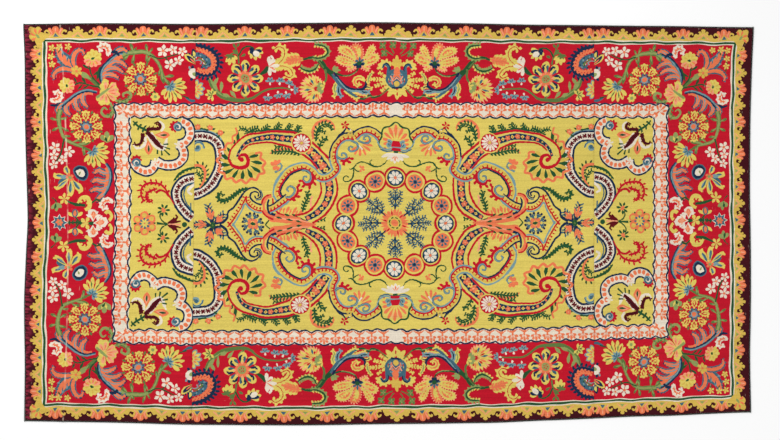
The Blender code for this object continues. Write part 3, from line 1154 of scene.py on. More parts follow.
@dataclass
class SideOrnaments(Motif):
    """The pieces between the C-scrolls and the seams: coral spray, snowflake, palmette and white ribbon."""

    ribbon: ToothedBand = field(default_factory=ToothedBand)
    white_width: float = 8.6
    cross_pitch: float = 5.2

    def draw(self) -> None:
        """Draws the pieces on the middle panel, then those on the end panels."""
        chart = self.chart
        chart.on(Zone.CENTRE, Mirror.QUARTERS)
        self.white_ribbon([(209, 88), (195, 88.2), (187, 87.4), (180.6, 83.6), (176.6, 77), (175, 64),
            (176.4, 52)])
        self.white_ribbon([(176.4, 52), (179.6, 45.6), (184.6, 38.8), (191.4, 33.4), (199, 30.4),
            (208, 29.6)])
        self.seam_feather()
        self.shelf_flowers()
        chart.on(Zone.CENTRE, Mirror.SIDES)
        self.palmette(Spot(181.6, -0.6))
        self.snowflake((142.2, 0))
        chart.on(Zone.CENTRE, Mirror.QUARTERS)
        self.coral_spray()
        chart.on(Zone.ENDS, Mirror.QUARTERS)
        self.scallop_band()
        self.lily_spray()
        self.white_ribbon(
            [(196, 46), (203.4, 45.8), (210.4, 43.6), (215.6, 39.4), (218.4, 33.6), (218.6, 27.6),
                (216.8, 21.6)]
            + [(212.8, 15.6), (208, 11), (202, 6.4)],
        )
        self.curl()
        self.crimson_feather()
        chart.on(Zone.ENDS, Mirror.SIDES)
        self.axis_flower()

    def white_ribbon(self, points: Points) -> None:
        """Draws an ivory ribbon with navy outlines and a chain of plum crosses.

        Args:
            points: The points that its middle passes through.
        """
        chart = self.chart
        middle = curve(points, 2.2)
        half = self.white_width / 2
        chart.line(middle, self.white_width + 1.0, IVORY)
        for side, yarn in ((-1, NAVY), (1, NAVY)):
            chart.line(beside(middle, side * (half + 0.5)), 2.2, yarn)
        chart.line(middle, 0.9, MAROON)
        for point, angle, _ in stations(middle, self.cross_pitch):
            for turn in (48, -48):
                chart.line([polar(point, 2.7, angle + turn), polar(point, -2.7, angle + turn)],
                    (1.5, 1.2, 1.5), MAROON)

    def seam_feather(self) -> None:
        """Draws the coral plume with green leaflets beside the seam, and the volute over it."""
        chart = self.chart
        path = curve([(195.8, 36.8), (192, 42), (189.6, 48), (190, 54), (193, 58), (199, 59.4),
            (205, 57)])
        chart.leaflets(path, 3.6, (3, 5.2, 5.6, 4.6), 2.1, GREEN, 50)
        chart.line(path, (1.2, 2.4, 2.8, 2.4), CORAL)
        inner = curve([(193, 44), (195, 50), (199, 53)])
        chart.leaflets(inner, 3.0, 3.6, 1.7, GREEN, 50)
        chart.line(inner, 1.3, GREEN)
        chart.volute((198, 77.2), 6.2, 190, -1.3, 2.1, SKY)
        chart.volute((198, 77.2), 6.9, 190, -0.8, 0.9, SLATE)

    def shelf_flowers(self) -> None:
        """Draws the small coral flowers on the white ribbon's back."""
        chart = self.chart
        chart.stroke([(206, 94), (195, 94.2), (186, 93.6), (179, 90), (174.5, 84.6)], 1.2, SKY)
        chart.stroke([(206, 95.2), (196, 95.4), (189, 95)], 1.4, GREEN)
        for u, v, turn in ((198, 97.6, 90), (185.4, 97.2, 80), (175.4, 92, 55)):
            chart.fan((u, v - 2.2), turn, 170, 4, 5.4, 2.3, GREEN)
            chart.wreath((u, v), 0, 3.1, 5, 2.6, CORAL, 0.6, turn)
            chart.disc((u, v), 0.9, SALMON, 6)

    def palmette(self, spot: Spot) -> None:
        """Draws the feathered blue and coral palmette with a green heart.

        Args:
            spot: Its foot.
        """
        chart = self.chart
        for turn, length in ((0, 22), (74, 20), (-74, 20), (134, 16), (-134, 16)):
            lobe = Spot(*spot.to(0, 0), turn)
            path = lobe.at([(2, 0), (length * 0.5, 0), (length, 0)])
            chart.leaflets(path, 3.3, (6.0, 6.6, 5.0), 1.9, SLATE, 44)
            chart.line(path, (2.5, 2.0), NAVY)
            for side in (-1, 1):
                chart.line(lobe.at([(3, side * 1.2), (length * 0.5, side * 3.4),
                    (length * 0.86, side * 1.6)]), 1.0, NAVY)
            chart.fan(lobe.to(length * 0.28, 0), turn, 54, 3, (length * 0.46, length * 0.6,
                length * 0.46), 2.7, CORAL, 0.3)
        for side in (-1, 1):
            chart.stroke([spot.to(-1, side * 0.8), (173, side * 2.4), (168.4, side * 6.4),
                (166, side * 13.6)], 1.3, NAVY)
        chart.blob(spot.at([(-2.8, 0), (0, 3.4), (3.2, 0), (0, -3.4)]), GREEN)
        chart.disc(spot.to(0, 0), 1.1, LEAF, 6)

    def snowflake(self, middle: Sequence[float]) -> None:
        """Draws the blue snowflake with a coral and green heart.

        Args:
            middle: Its middle.
        """
        chart = self.chart
        for k in range(8):
            turn = 22.5 + 45 * k
            chart.line([polar(middle, 3, turn), polar(middle, 9.6, turn)], 1.9, SLATE)
            for side in (-1, 1):
                chart.petal(polar(middle, 6.2, turn), turn + side * 46, 4.0, 1.8, SLATE)
                chart.disc(polar(middle, 10.3, turn + side * 10), 1.45, NAVY, 6)
        chart.wreath(middle, 1.4, 6.2, 4, 4.2, CORAL, 0.7, 45)
        chart.wreath(middle, 1, 5.6, 4, 2.4, CORAL, 0.5)
        chart.oval(middle, (2.6, 1.6), 0, GREEN, 8)

    def coral_spray(self) -> None:
        """Draws the coral spray on the middle line, with its green leaves and its curled tip."""
        chart = self.chart
        chart.stroke([(129.6, 0), (126.6, 3.4), (123.4, 5.8)], 1.3, GREEN)
        for base, turn, length in (
            ((91, 4), 128, 9), ((97, 6.6), 124, 9.6), ((103, 8.6), 120, 9.4), ((109, 10), 112, 8.6),
            ((115, 10.6), 100, 7.6),
        ):
            chart.petal(base, turn, length, 3.3, CORAL, 0.2)
            chart.petal((base[0] + 2.4, base[1] + 0.6), turn - 14, length * 0.7, 2.2, CORAL)
        chart.blob([(78, 0.4), (88, 4.4), (99, 7.6), (111, 10.6), (120, 10.6), (127, 7.6), (124, 3),
            (112, 1.4), (98, -0.4), (86, -0.8)], CORAL)
        chart.stroke([(84, 2), (96, 3.6), (108, 5.2), (120, 7)], (0.8, 1.6, 1.2), SALMON)
        for base, turn, length in (
            ((88, 3.4), 24, 7), ((96, 6.2), 28, 7.6), ((104, 8), 20, 6.4), ((92, 1.2), 14, 7),
            ((101, 3), 16, 8), ((112, 5.6), 14, 7),
        ):
            chart.petal(base, turn, length, 2.3, GREEN)
        hook = curve([(120, 6.4), (127.4, 10.6), (131.4, 16.6), (131.2, 22.4), (128.2, 27),
            (123.4, 28.4)])
        chart.line(hook, (4.4, 3.6, 3.0, 2.2), CORAL)
        chart.line(beside(hook, -1.9), (1.8, 1.8, 1.3), CRIMSON)
        chart.stroke([(119, 9.4), (124.4, 11.4), (126.6, 16), (127.4, 21.6), (126.2, 25.6)],
            (2.8, 2.6, 1.2), NAVY)
        chart.stroke([(122.6, 26.6), (122, 21), (120.4, 15.6), (116.4, 11.4), (110, 9)],
            (1.5, 2.0, 1.3), CRIMSON)
        chart.frond([(79.6, 3.2), (74, 4.6), (69.6, 4.4)], 1.2, GREEN, 3.4, 3.0, 1.7)

    def scallop_band(self) -> None:
        """Draws the ivory band of four arcs that cuts off the field's corner."""
        chart = self.chart
        arcs = (
            [(214.5, 103.4), (208.6, 100.8), (205.8, 95), (206, 88.4), (209.8, 83.2), (216.4, 80.4)],
            [(216.4, 80.4), (213, 75.2), (212.6, 68.6), (216.2, 62.6), (223.4, 59), (231.4, 58.6),
                (239.4, 63)],
            [(239.4, 63), (241.8, 56.4), (247.8, 53), (254.6, 54), (259.6, 58.2), (261, 63)],
        )
        half = 4.1
        lines = [curve(points, 2.0) for points in arcs]
        for line in lines:
            chart.line(line, 2 * half + 2.8, NAVY)
        for line in lines:
            chart.line(line, 2 * half - 0.8, IVORY)
        for line in lines:
            for point, angle, _ in stations(beside(line, -0.6), 4.9):
                brick = Spot(point[0], point[1], angle)
                chart.area(brick.at([(-1.4, -2.4), (1.4, -2.4), (1.9, 0.6), (1.0, 2.2), (-1.0, 2.2),
                    (-1.9, 0.6)]), CORAL)
        for middle, turn in (((217.4, 79.8), 20), ((240, 62), -60)):
            chart.wreath(middle, 0, 4.2, 5, 2.2, IVORY, 0.3, turn)
        for eye, start, turns, tuft in (((217.8, 97.8), 90, 1.2, 10), ((258.2, 61.2), -10, 1.2, 75)):
            chart.fan(polar(eye, 2.6, tuft), tuft, 200, 6, 6.2, 3.2, CRIMSON, 0.2)
            chart.disc(eye, 4.4, SKY, 10)
            chart.disc(eye, 3.0, IVORY, 10)
            chart.volute(eye, 4.6, start, turns, 1.8, SLATE)

    def lily_spray(self) -> None:
        """Draws the plum and ivory lily that grows from the field's corner."""
        chart = self.chart
        chart.frond([(262.6, 103.6), (257.6, 98.8), (251, 95), (246.4, 91.6)], (1.4, 2.2, 2.6), GREEN,
            (3.4, 4.6, 5.2), 4.6, 2.3, 56)
        chart.stroke([(234.2, 93.2), (231.8, 97.4), (233.4, 101.4), (236.6, 103)], (1.8, 2.6, 1.4),
            IVORY)
        chart.stroke([(250, 87.4), (250.8, 81.4), (254.4, 77), (260.4, 76.8), (262.6, 80)],
            (2.0, 3.2, 2.8, 1.6), IVORY)
        chart.stroke([(246, 90), (240.4, 81), (233, 76), (228, 86)], (7, 8.6, 5.6, 1.4), IVORY)
        for pod, turn, length in (((241, 89.2), 180, 16), ((248, 84), -94, 15)):
            chart.petal(pod, turn, length, 8.2, CORAL, 0.1)
            chart.petal(polar(pod, 2.6, turn), turn, length - 6, 4.4, SALMON, 0.1)
            chart.petal(polar(pod, 5, turn), turn, length - 8, 2.4, GREEN)
        for points, width in (
            ([(248.6, 94.2), (242, 94.8), (236.6, 95.4), (235, 99), (237.8, 102), (241, 100)],
                (3.4, 3.4, 2.6, 1.4)),
            ([(249, 92), (243.4, 86.4), (238.2, 80.2), (233.2, 75)], (3.6, 5.2, 5.0, 2.2)),
            ([(252.4, 91), (253.6, 85), (256, 80.6), (260.4, 79.8), (261.6, 82.6)],
                (4.0, 3.8, 2.8, 1.4)),
        ):
            path = chart.stroke(points, width, MAROON)
            chart.leaflets(path, 4.4, 3.4, 1.5, MAROON, 70, (-1,))
            chart.line(path, np.asarray(width) * 0.4, PLUM)
        for start, end in (
            ((232.6, 79.6), (227.2, 79.8)), ((231.6, 76.8), (226, 75)), ((232.4, 74.2), (226.4, 68.6)),
            ((234.6, 73.6), (233.8, 68.4)), ((238.6, 74.4), (238.6, 70)),
        ):
            chart.line([start, end], (1.2, 1.9), GREEN)

    def curl(self) -> None:
        """Draws the curl inside the white ribbon's bend, and the green leaf on its back."""
        chart = self.chart
        chart.stroke([(204.8, 16), (209.6, 23), (211.2, 30), (209.6, 37), (205.4, 41), (200, 41.4)],
            1.3, SLATE)
        chart.stroke([(204.4, 21.8), (204.2, 9.8)], 1.5, SLATE)
        chart.stroke([(200, 40.6), (204.4, 37.4), (207, 33), (203, 30)], (2.6, 3.0, 2.0), IVORY)
        chart.frond([(221.8, 43.6), (216, 50.4), (209, 54.8), (200, 57.4)], (1.2, 3.0, 2.0), GREEN,
            (1.6, 2.8, 2.6), 4.0, 2.0, 60, (1,))

    def crimson_feather(self) -> None:
        """Draws the crimson feather that curls back over the yellow ground."""
        chart = self.chart
        outer = curve([(221.4, 20), (225.6, 27.2), (230, 35), (235.2, 39), (241, 40.8), (247.4, 41),
            (252, 38.2), (254.6, 33.4), (254.6, 27.4), (251.6, 22.6)])
        inner = curve([(225.4, 27.4), (231, 32), (236, 33), (239.6, 30.2)])
        tongue = curve([(238, 34.8), (244, 33.4), (248.6, 31), (249.4, 26.6), (246.4, 22),
            (243.2, 23.2)])
        chart.area(np.vstack([outer[4:], tongue[::-1], inner[:2]]), GOLD)
        chart.line(outer, (1.2, 1.8, 2.2, 2.4, 2.2, 2.0), CRIMSON)
        chart.leaflets(outer[6:], 5.0, (3.6, 5.0, 5.2, 4.6), 2.1, CRIMSON, 58, (1,))
        chart.leaflets(outer[12:], 4.4, 3.4, 1.6, CRIMSON, 50, (-1,))
        chart.line(inner, (2.2, 2.2, 3.0), CRIMSON)
        chart.line(tongue, (1.8, 2.6, 2.4, 3.4, 1.4), CRIMSON)
        chart.leaflets(tongue, 4.2, 3.2, 1.7, CRIMSON, 60)

    def axis_flower(self) -> None:
        """Draws the flowers on the end panel's middle line."""
        chart = self.chart
        middle = (250.6, 0)
        for k in range(6):
            turn = 30 + 60 * k
            chart.petal(polar(middle, 7, turn + 30), turn + 30, 4.6, 2.6, GREEN)
            chart.disc(polar(middle, 8.2, turn), 4.5, CORAL, 10)
            chart.disc(polar(middle, 8.4, turn), 2.6, GOLD, 8)
        chart.wreath(middle, 2.6, 6.0, 8, 2.2, SLATE, 0.4)
        chart.disc(middle, 3.0, YELLOW, 10)
        chart.disc(middle, 1.0, CORAL, 6)
        chart.line([(238, 0), (228, 0)], (2.4, 1.4), GREEN)
        for side in (-1, 1):
            chart.stroke([(227, 0), (233, side * 3.6), (235, side * 8.4), (233.4, side * 11)],
                (1.2, 1.3), GREEN)
            flower = (232, side * 13.6)
            chart.wreath(flower, 1.0, 6.6, 7, 2.6, GREEN, 0.1, side * 20)
            chart.oval(flower, (1.9, 2.7), side * -30, CORAL, 8)
            for points, width in (
                ([(227, side * 1), (221, side * 3), (217.6, side * 7), (219.6, side * 9.6)],
                    (1.6, 3.0, 1.6)),
                ([(226, side * 2), (222.4, side * 4.4), (220.4, side * 6.6)], (1.2, 1.8)),
                ([(225, side * 0.8), (218, side * 2.4), (213.4, side * 3.4)], (1.6, 2.6, 1.0)),
            ):
                chart.stroke(points, width, MAROON)
        chart.line([(226, 0), (214, 0)], (1.0, 1.8), SALMON)
        chart.disc((209.8, 0), 2.7, GREEN, 8)


@dataclass
class Flowers:
    """The flowers and leaves that the crimson border is strewn with."""

    chart: Chart

    def rosette(self, middle: Sequence[float], radius: float, tips: bool) -> None:
        """Draws an eight-petalled rosette, with navy tips or with green leaves between its petals.

        Args:
            middle: Its middle.
            radius: Its radius.
            tips: If it has navy tips.
        """
        c = self.chart
        if not tips:
            c.wreath(middle, radius * 0.8, radius * 1.1, 8, 2.4, LEAF, 0.0, 22.5)
        for k in range(8):
            turn = 45 * k
            c.petal(polar(middle, radius * 0.3, turn), turn, radius * 0.74,
                radius * (0.52 if tips else 0.39), YELLOW, 0.5)
            if tips:
                c.petal(polar(middle, radius * 0.4, turn - 16), turn - 2, radius * 0.42, 3.0, SLATE,
                    0.2)
                c.petal(polar(middle, radius * 0.44, turn + 14), turn + 10, radius * 0.4, 2.8, NAVY,
                    0.2)
                c.petal(polar(middle, radius * 0.74, turn + 16), turn - 50, radius * 0.26, 2.2, NAVY)
                c.petal(polar(middle, radius * 0.62, turn - 10), turn + 40, radius * 0.22, 1.8, NAVY)
                c.petal(polar(middle, radius * 0.4, turn), turn, radius * 0.44, 1.7, YELLOW, 0.3)
            else:
                for side in (-1, 1):
                    for place in (0.86, 0.68, 0.5):
                        start = polar(middle, radius * place, turn + side * 9)
                        c.petal(start, turn + side * 40, radius * 0.17, 2.2, YELLOW)
                c.petal(polar(middle, radius * 0.44, turn), turn, radius * 0.46, 4.0, CRIMSON, 0.3)
                c.petal(polar(middle, radius * 0.92, turn), turn + 180, radius * 0.34, 1.5, YELLOW)
                c.petal(polar(middle, radius * 0.7, turn - 8), turn + 30, radius * 0.2, 1.2, YELLOW)
        if tips:
            c.disc(middle, radius * 0.42, CORAL, 14)
            c.wreath(middle, radius * 0.3, radius * 0.46, 8, 2.0, SALMON, 0.6)
            c.disc(middle, radius * 0.25, LIME, 10)
            c.wreath(middle, 0.6, radius * 0.17, 5, 1.3, CRIMSON, 0.5)
        else:
            c.wreath(middle, radius * 0.2, radius * 0.42, 8, 3.0, SLATE, 0.4, 22.5)
            c.wreath(middle, radius * 0.2, radius * 0.34, 8, 1.4, NAVY, 0.4)
            c.disc(middle, radius * 0.25, SKY, 10)
            c.disc(middle, radius * 0.17, CORAL, 8)

    def half_daisy(self, base: Sequence[float], turn: float, length: float) -> None:
        """Draws a daisy seen from its side, with a blue foot.

        Args:
            base: Its foot.
            turn: The direction that it opens in.
            length: Its petals' length.
        """
        c = self.chart
        c.fan(base, turn, 165, 9, (length * 0.8, length, length * 1.02, length, length * 0.8), 4.4,
            YELLOW, 0.5, 2.0)
        for k in range(8):
            angle = turn + 148 * ((k + 0.5) / 8 - 0.5)
            c.petal(polar(base, 5.5, angle), angle, length * 0.46, 1.5, CRIMSON if k % 2 else LEAF)
        c.fan(base, turn, 220, 7, 6.2, 2.6, SKY, 0.3)
        c.fan(base, turn, 180, 4, 4.6, 1.8, SLATE)

    def small_flower(
        self, middle: Sequence[float], radius: float, yarn: Yarn, heart: Yarn, petals: int = 5
    ) -> None:
        """Draws a plain small flower."""
        self.chart.wreath(middle, 0.2, radius, petals, radius * 0.62, yarn, 0.4, 18 * (middle[0] % 4))
        self.chart.disc(middle, radius * 0.24, heart, 6)

    def plume(
        self, points: Points, width: float, reach: float, edge: Yarn = SLATE, heart: Yarn = CORAL
    ) -> None:
        """Draws a feathered lobe that narrows to its tip, with a serrated edge.

        Args:
            points: The points that its middle passes through.
            width: Its width at its widest.
            reach: How far its edge's points stand out.
            edge: The yarn of its edge.
            heart: The yarn inside.
        """
        c = self.chart
        path = curve(points, 1.8)
        taper = np.array([0.5, 1.0, 1.0, 0.75, 0.3])
        c.leaflets(path, 2.9, tuple(width * taper * 0.5 + reach), 2.2, NAVY if edge == SLATE else edge,
            38, (-1,))
        c.leaflets(path, 2.9, tuple(width * taper * 0.5 + reach), 2.2, edge, 38, (1,))
        c.line(path, taper * width, edge)
        c.leaflets(path, 3.2, tuple(width * taper * 0.4 + reach * 0.3), 1.9, heart, 34)
        c.line(path, taper * width * 0.55, heart)

    def acanthus(self, points: Points, lobes: Iterable[Points]) -> None:
        """Draws a curved leaf with a blue spine and feathered lobes.

        Args:
            points: The points that its spine passes through.
            lobes: For each lobe, the points that its middle passes through.
        """
        for lobe in lobes:
            self.plume(lobe, 7.0, 1.7)
        spine = curve(points)
        side = 1 if np.cross(spine[-1] - spine[0], np.mean([lobe[-1] for lobe in lobes],
            axis=0) - spine[0]) > 0 else -1
        self.chart.line(beside(spine, side * 2.6)[2:-1], (2.0, 4.6, 5.0, 3.4), CORAL)
        for lobe in lobes:
            self.chart.stroke(list(lobe)[:-1], (0.8, 1.2, 0.6), SKY)
        self.chart.line(spine, (1.6, 2.8, 3.4, 3.0, 1.4), SLATE)
        self.chart.line(beside(spine, 0.5), (0.8, 1.2, 0.8), SKY)
        self.chart.line(beside(spine, -1.3), (1.0, 1.4, 1.2), NAVY)

    def pale_curl(self, middle: Sequence[float], turn: float) -> None:
        """Draws the ivory curl at an acanthus leaf's tip.

        Args:
            middle: Its middle.
            turn: Its direction.
        """
        spot = Spot(middle[0], middle[1], turn)
        path = curve(spot.at([(-5, -4.6), (-4.8, 0.6), (-2, 4), (2.4, 3.6), (4.2, 0), (2.4, -2.4)]),
            1.6)
        self.chart.leaflets(path, 3.2, (2.8, 4.6, 4.6, 2.8), 2.8, IVORY, 42)
        self.chart.line(path, (2.4, 5.4, 6.0, 4.8, 2.6), IVORY)
        self.chart.leaflets(beside(path, -0.6)[2:-2], 3.0, 2.6, 1.1, CORAL, 40)
        self.chart.line(beside(path, -0.6)[2:-2], (0.8, 1.6, 1.4, 0.8), CORAL)

    def poppy(self, middle: Sequence[float], radius: float, turn: float) -> None:
        """Draws a ruffled yellow flower with a salmon side and a lime heart.

        Args:
            middle: Its middle.
            radius: Its radius.
            turn: The direction of its salmon side.
        """
        c = self.chart
        for k in range(11):
            angle = turn + 360 * k / 11
            near = math.cos(math.radians(angle - turn))
            c.petal(middle, angle, radius * (0.98 + 0.08 * (k % 2)), radius * 0.52,
                SALMON if near > 0.1 else YELLOW, 0.8)
        c.wreath(middle, radius * 0.3, radius * 0.78, 8, radius * 0.24, GOLD, 0.5, turn)
        c.fan(middle, turn, 110, 4, radius * 0.86, radius * 0.16, CORAL, 0.3, radius * 0.34)
        c.disc(middle, radius * 0.32, YELLOW, 8)
        c.oval(middle, (radius * 0.24, radius * 0.14), turn + 60, GREEN, 6)


@dataclass
class MainBorder(Motif):
    """The crimson border's flowers on the long sides, at the corners and at the ends."""

    def draw(self) -> None:
        """Draws the border, from the middle of a long side round to the middle of an end."""
        chart = self.chart
        chart.on(Zone.CENTRE, Mirror.TURNS)
        self.lotus()
        chart.on(Zone.CENTRE, Mirror.QUARTERS)
        self.tulip()
        self.blue_leaf()
        self.carnation()
        self.oak_leaf()
        self.bell_sprays()
        self.paisley()
        chart.on(Zone.ENDS, Mirror.QUARTERS)
        self.seam_pieces()
        self.vine()
        self.corner()
        self.end_side()
        chart.on(Zone.ENDS, Mirror.SIDES)
        self.end_axis()

    def lotus(self) -> None:
        """Draws the palmette in the middle of a long side."""
        chart = self.chart
        for side in (-1, 1):
            chart.stroke([(side * 3, 170), (side * 6, 174), (side * 5.4, 177)], 1.1, LEAF)
            chart.stroke([(side * 4, 168), (side * 10, 171), (side * 15, 176)], 1.1, LEAF)
            for u, v in ((5.2, 178), (15.4, 177.4), (13.4, 169.6)):
                chart.wreath((side * u, v), 0, 4.0, 4, 3.2, LEAF, 0.7, 45)
                chart.wreath((side * u, v), 0, 2.2, 4, 1.2, LIME, 0.4)
            crest = curve([(side * 6.6, 157), (side * 11, 160.4), (side * 15.6, 159), (side * 17, 154)],
                1.8)
            chart.leaflets(crest, 3.2, (4.2, 4.4, 3.4), 3.0, YELLOW, 60)
            chart.line(crest, (3.4, 4.4, 3.4), YELLOW)
            for turn, length, width in ((6, 21.5, 6.2), (32, 16, 4.6), (-16, 18.6, 5.2),
                (-40, 15.6, 4.6)):
                angle = 90 - side * (90 - turn)
                path = np.linspace(polar((side * 4, 142), 4, angle), polar((side * 4, 142), length,
                    angle), 12)
                chart.leaflets(path, 3.1, (width * 0.4, width * 0.56, 2.6), 2.4, YELLOW, 40)
                chart.line(path, (3, width * 0.5, width * 0.42, 1.6), YELLOW)
                chart.leaflets(path[5:-3], 3.0, 2.0, 1.1, CRIMSON, 40)
            chart.fan((side * 2, 137), -90 + side * 38, 62, 3, (8, 12.5, 10), 4.8, YELLOW, 0.4)
            chart.stroke([(side * 8, 136), (side * 12, 131.6), (side * 17, 127)], 1.2, LEAF)
            chart.stroke([(side * 14.4, 155), (side * 12.6, 158.6), (side * 8.8, 157),
                (side * 8.6, 149), (side * 9.4, 141.6), (side * 4.6, 136.4)], (2.0, 3.0, 3.4, 2.8, 1.8),
                SLATE)
            chart.stroke([(side * 14.4, 156), (side * 11, 159.6), (side * 7.4, 157), (side * 7, 147)],
                (1.2, 1.4, 1.0), NAVY)
        chart.line([(0, 150), (0, 158), (0, 164)], (8, 6, 5), GOLD)
        chart.fan((0, 158), 90, 130, 5, (6.6, 7.6, 10.6, 7.6, 6.6), 4.0, GOLD, 0.6)
        chart.blob([(-7, 153), (-3, 154.6), (3, 154.6), (7, 153), (7.4, 144), (4.6, 137), (-4.6, 137),
            (-7.4, 144)], SLATE)
        chart.blob([(-2, 156), (0, 157.4), (2, 156), (3.6, 149), (5.6, 141), (2.4, 139), (-2.4, 139),
            (-5.6, 141), (-3.6, 149)], CORAL)
        for side in (-1, 1):
            chart.leaflets(curve([(side * 3.4, 152), (side * 4.4, 146), (side * 6.4, 140)]), 2.8, 2.2,
                1.2, SKY, 40)
        chart.blob([(0, 148), (3.6, 143), (3, 137.6), (-3, 137.6), (-3.6, 143)], SLATE)
        chart.line([(-6, 148), (-3.6, 143), (0, 146.4), (3.6, 143), (6, 148)], 1.3, SALMON)
        chart.disc((0, 140.4), 3.0, GOLD, 8)
        chart.line([(-5, 136.2), (5, 136.2)], 1.8, NAVY)
        chart.petal((0, 135), -90, 10.6, 5.0, YELLOW, 0.5)
        chart.petal((0, 132.4), -90, 5, 1.8, CRIMSON)

    def tulip(self) -> None:
        """Draws the tulip and the forked green stem that carries it."""
        chart = self.chart
        chart.stroke([(38, 158), (40, 152.6), (46, 149.4), (55.6, 148.6), (64.6, 151.6), (72, 156.6)],
            (1.6, 2.0), GREEN)
        chart.stroke([(40, 152), (46, 148.9), (54, 148)], 0.8, LIME)
        chart.stroke([(94, 165), (84.5, 166.4), (76.8, 162.4), (71.7, 156), (66.4, 150), (61, 143)],
            (1.8, 3.6, 5.2, 4.4, 2.8), GREEN)
        chart.stroke([(90, 165.4), (80, 164), (73, 156)], (1.0, 1.4), LEAF)
        for turn, length in ((158, 7), (182, 8.6), (206, 6), (130, 5)):
            chart.petal((64.6, 153.4), turn, length, 2.8, LIME, 0.3)
        for points in (
            [(85, 166.4), (78.6, 165.6), (72.6, 168), (70.6, 172.4), (73.8, 177), (79.4, 178.4),
                (84, 179)],
            [(78.4, 160), (81, 155.4), (87, 153), (93, 154.6), (97, 157.4)],
        ):
            path = chart.stroke(points, (2.6, 4.4, 4.8, 2.4), LIME)
            chart.leaflets(path, 3.0, 4.0, 2.2, LIME, 66, (1,))
            chart.leaflets(path, 3.0, 3.4, 2.0, YELLOW, 60, (-1,))
            chart.line(path, (1.2, 2.2, 1.2), GREEN)
        for points, yarn in (
            ([(36, 156.6), (32, 153.4), (28, 152.8), (27.6, 156.8), (32, 159.6)], SALMON),
            ([(40, 157), (45, 153.6), (49.6, 154), (49, 158), (43, 160.6)], SALMON),
            ([(42, 159.6), (49, 158.2), (57, 159.4), (61.6, 162.6), (60.8, 166.4), (54, 166.6),
                (46, 164)], YELLOW),
            ([(41.4, 162.6), (46.4, 165.6), (53.6, 168.2), (59.6, 171.6), (59, 175.8), (52.6, 177.2),
                (46.6, 174.4), (42.6, 168)], YELLOW),
            ([(34.6, 161), (30.4, 164.6), (24.8, 169.2), (20.2, 169), (18.4, 164.8), (21.4, 161),
                (27, 158.4), (33, 157.6)], YELLOW),
            ([(36.4, 163), (32.6, 168), (29.6, 174.4), (25.6, 177.8), (22.4, 174.4), (24.8, 170.4),
                (30, 165.4)], YELLOW),
            ([(40.6, 162), (42.4, 170), (46.6, 177), (42.6, 179.6), (37.4, 177.4), (35, 171),
                (36.6, 163)], CORAL),
        ):
            edge = curve(points, 2.0, closed=True)
            ring = np.vstack([edge, edge[:1]])
            chart.leaflets(ring, 2.5, 1.7, 1.6, SALMON, 32)
            chart.area(edge, yarn)
            heart = edge.mean(axis=0)
            chart.area(heart + (edge - heart) * 0.64, CORAL)
            far = edge[int(np.argmax(np.hypot(edge[:, 0] - 38.4, edge[:, 1] - 160.4)))]
            vein = curve([(38.4, 160.4), (heart[0], heart[1]), tuple(heart + (far - heart) * 0.7)])
            chart.leaflets(vein[2:], 3.4, 3.4, 1.1, YELLOW, 34)
            chart.line(vein, (0.8, 1.4, 0.8), YELLOW)
        chart.petal((38.4, 164), 86, 12, 4.2, YELLOW, 0.3)
        chart.fan((38.4, 160.4), 90, 200, 5, (6.0, 5.4, 6.4, 5.4, 6.0), 2.4, SLATE, 0.5)
        chart.fan((38.4, 160.4), -90, 130, 4, 5.6, 2.8, NAVY, 0.4)
        chart.disc((38.4, 160.2), 2.3, GREEN, 8)

    def blue_leaf(self) -> None:
        """Draws the blue acanthus leaf under the tulip, with its yellow curl."""
        chart = self.chart
        chart.stroke([(17, 127), (24, 125.4), (27, 128.4), (33, 125), (41, 126.8)], (1.8, 2.2), GREEN)
        chart.line([(20, 126.6), (26, 127), (33, 126)], 0.8, LIME)
        for points, width, yarn, tip in (
            ([(60.6, 141), (62.8, 135), (61.4, 129), (63.6, 126)], 4.0, YELLOW, LIME),
            ([(58, 139), (58.4, 132), (55, 127)], 4.4, SKY, NAVY),
            ([(52, 134.6), (46, 130), (39, 124.6)], 5.2, YELLOW, LIME),
            ([(44, 133), (37, 130.4), (30, 128.6)], 4.0, YELLOW, SALMON),
            ([(40, 134), (33, 131.6), (27.6, 131.6)], 4.4, SKY, NAVY),
            ([(34, 135.4), (29.6, 136.6), (25, 134.6)], 3.4, YELLOW, NAVY),
            ([(29, 139), (27.6, 146), (23.8, 151.6)], 3.4, YELLOW, LIME),
        ):
            path = chart.stroke(points, (width * 0.8, width, width * 0.5), yarn)
            chart.leaflets(path, 3.0, width * 0.75, 2.2, yarn, 44)
            chart.line(path[1:-1], (0.8, 1.4, 0.8), tip)
        chart.stroke([(64.6, 149), (60.6, 143), (53.6, 137.4), (47, 131.6), (39.6, 126.4)],
            (2.0, 4.4, 4.4, 3.0, 1.2), SLATE)
        chart.stroke([(63, 151), (56.4, 142), (50, 136), (42.6, 133.6), (34.6, 134.6), (30.8, 139),
            (32, 143)], (2.0, 3.4, 4.2, 3.6, 2.8, 1.4), NAVY)
        chart.stroke([(61, 146.6), (54.6, 139), (48.6, 133.6)], (0.8, 1.8, 1.0), SKY)
        chart.stroke([(51, 135.4), (43.6, 132.6), (35, 132.6)], (1.0, 2.4, 1.0), SKY)
        curl = chart.stroke([(31.6, 142.6), (35.6, 145.6), (40.6, 145.2), (42.6, 141.4), (39.6, 138.2),
            (36.8, 140)], (2.4, 4.6, 4.4, 3.4, 2.0), YELLOW, 1.6)
        chart.leaflets(curl, 2.8, 3.0, 2.2, YELLOW, 46)
        chart.line(curl[3:-3], (1.0, 1.8, 1.2), CORAL)

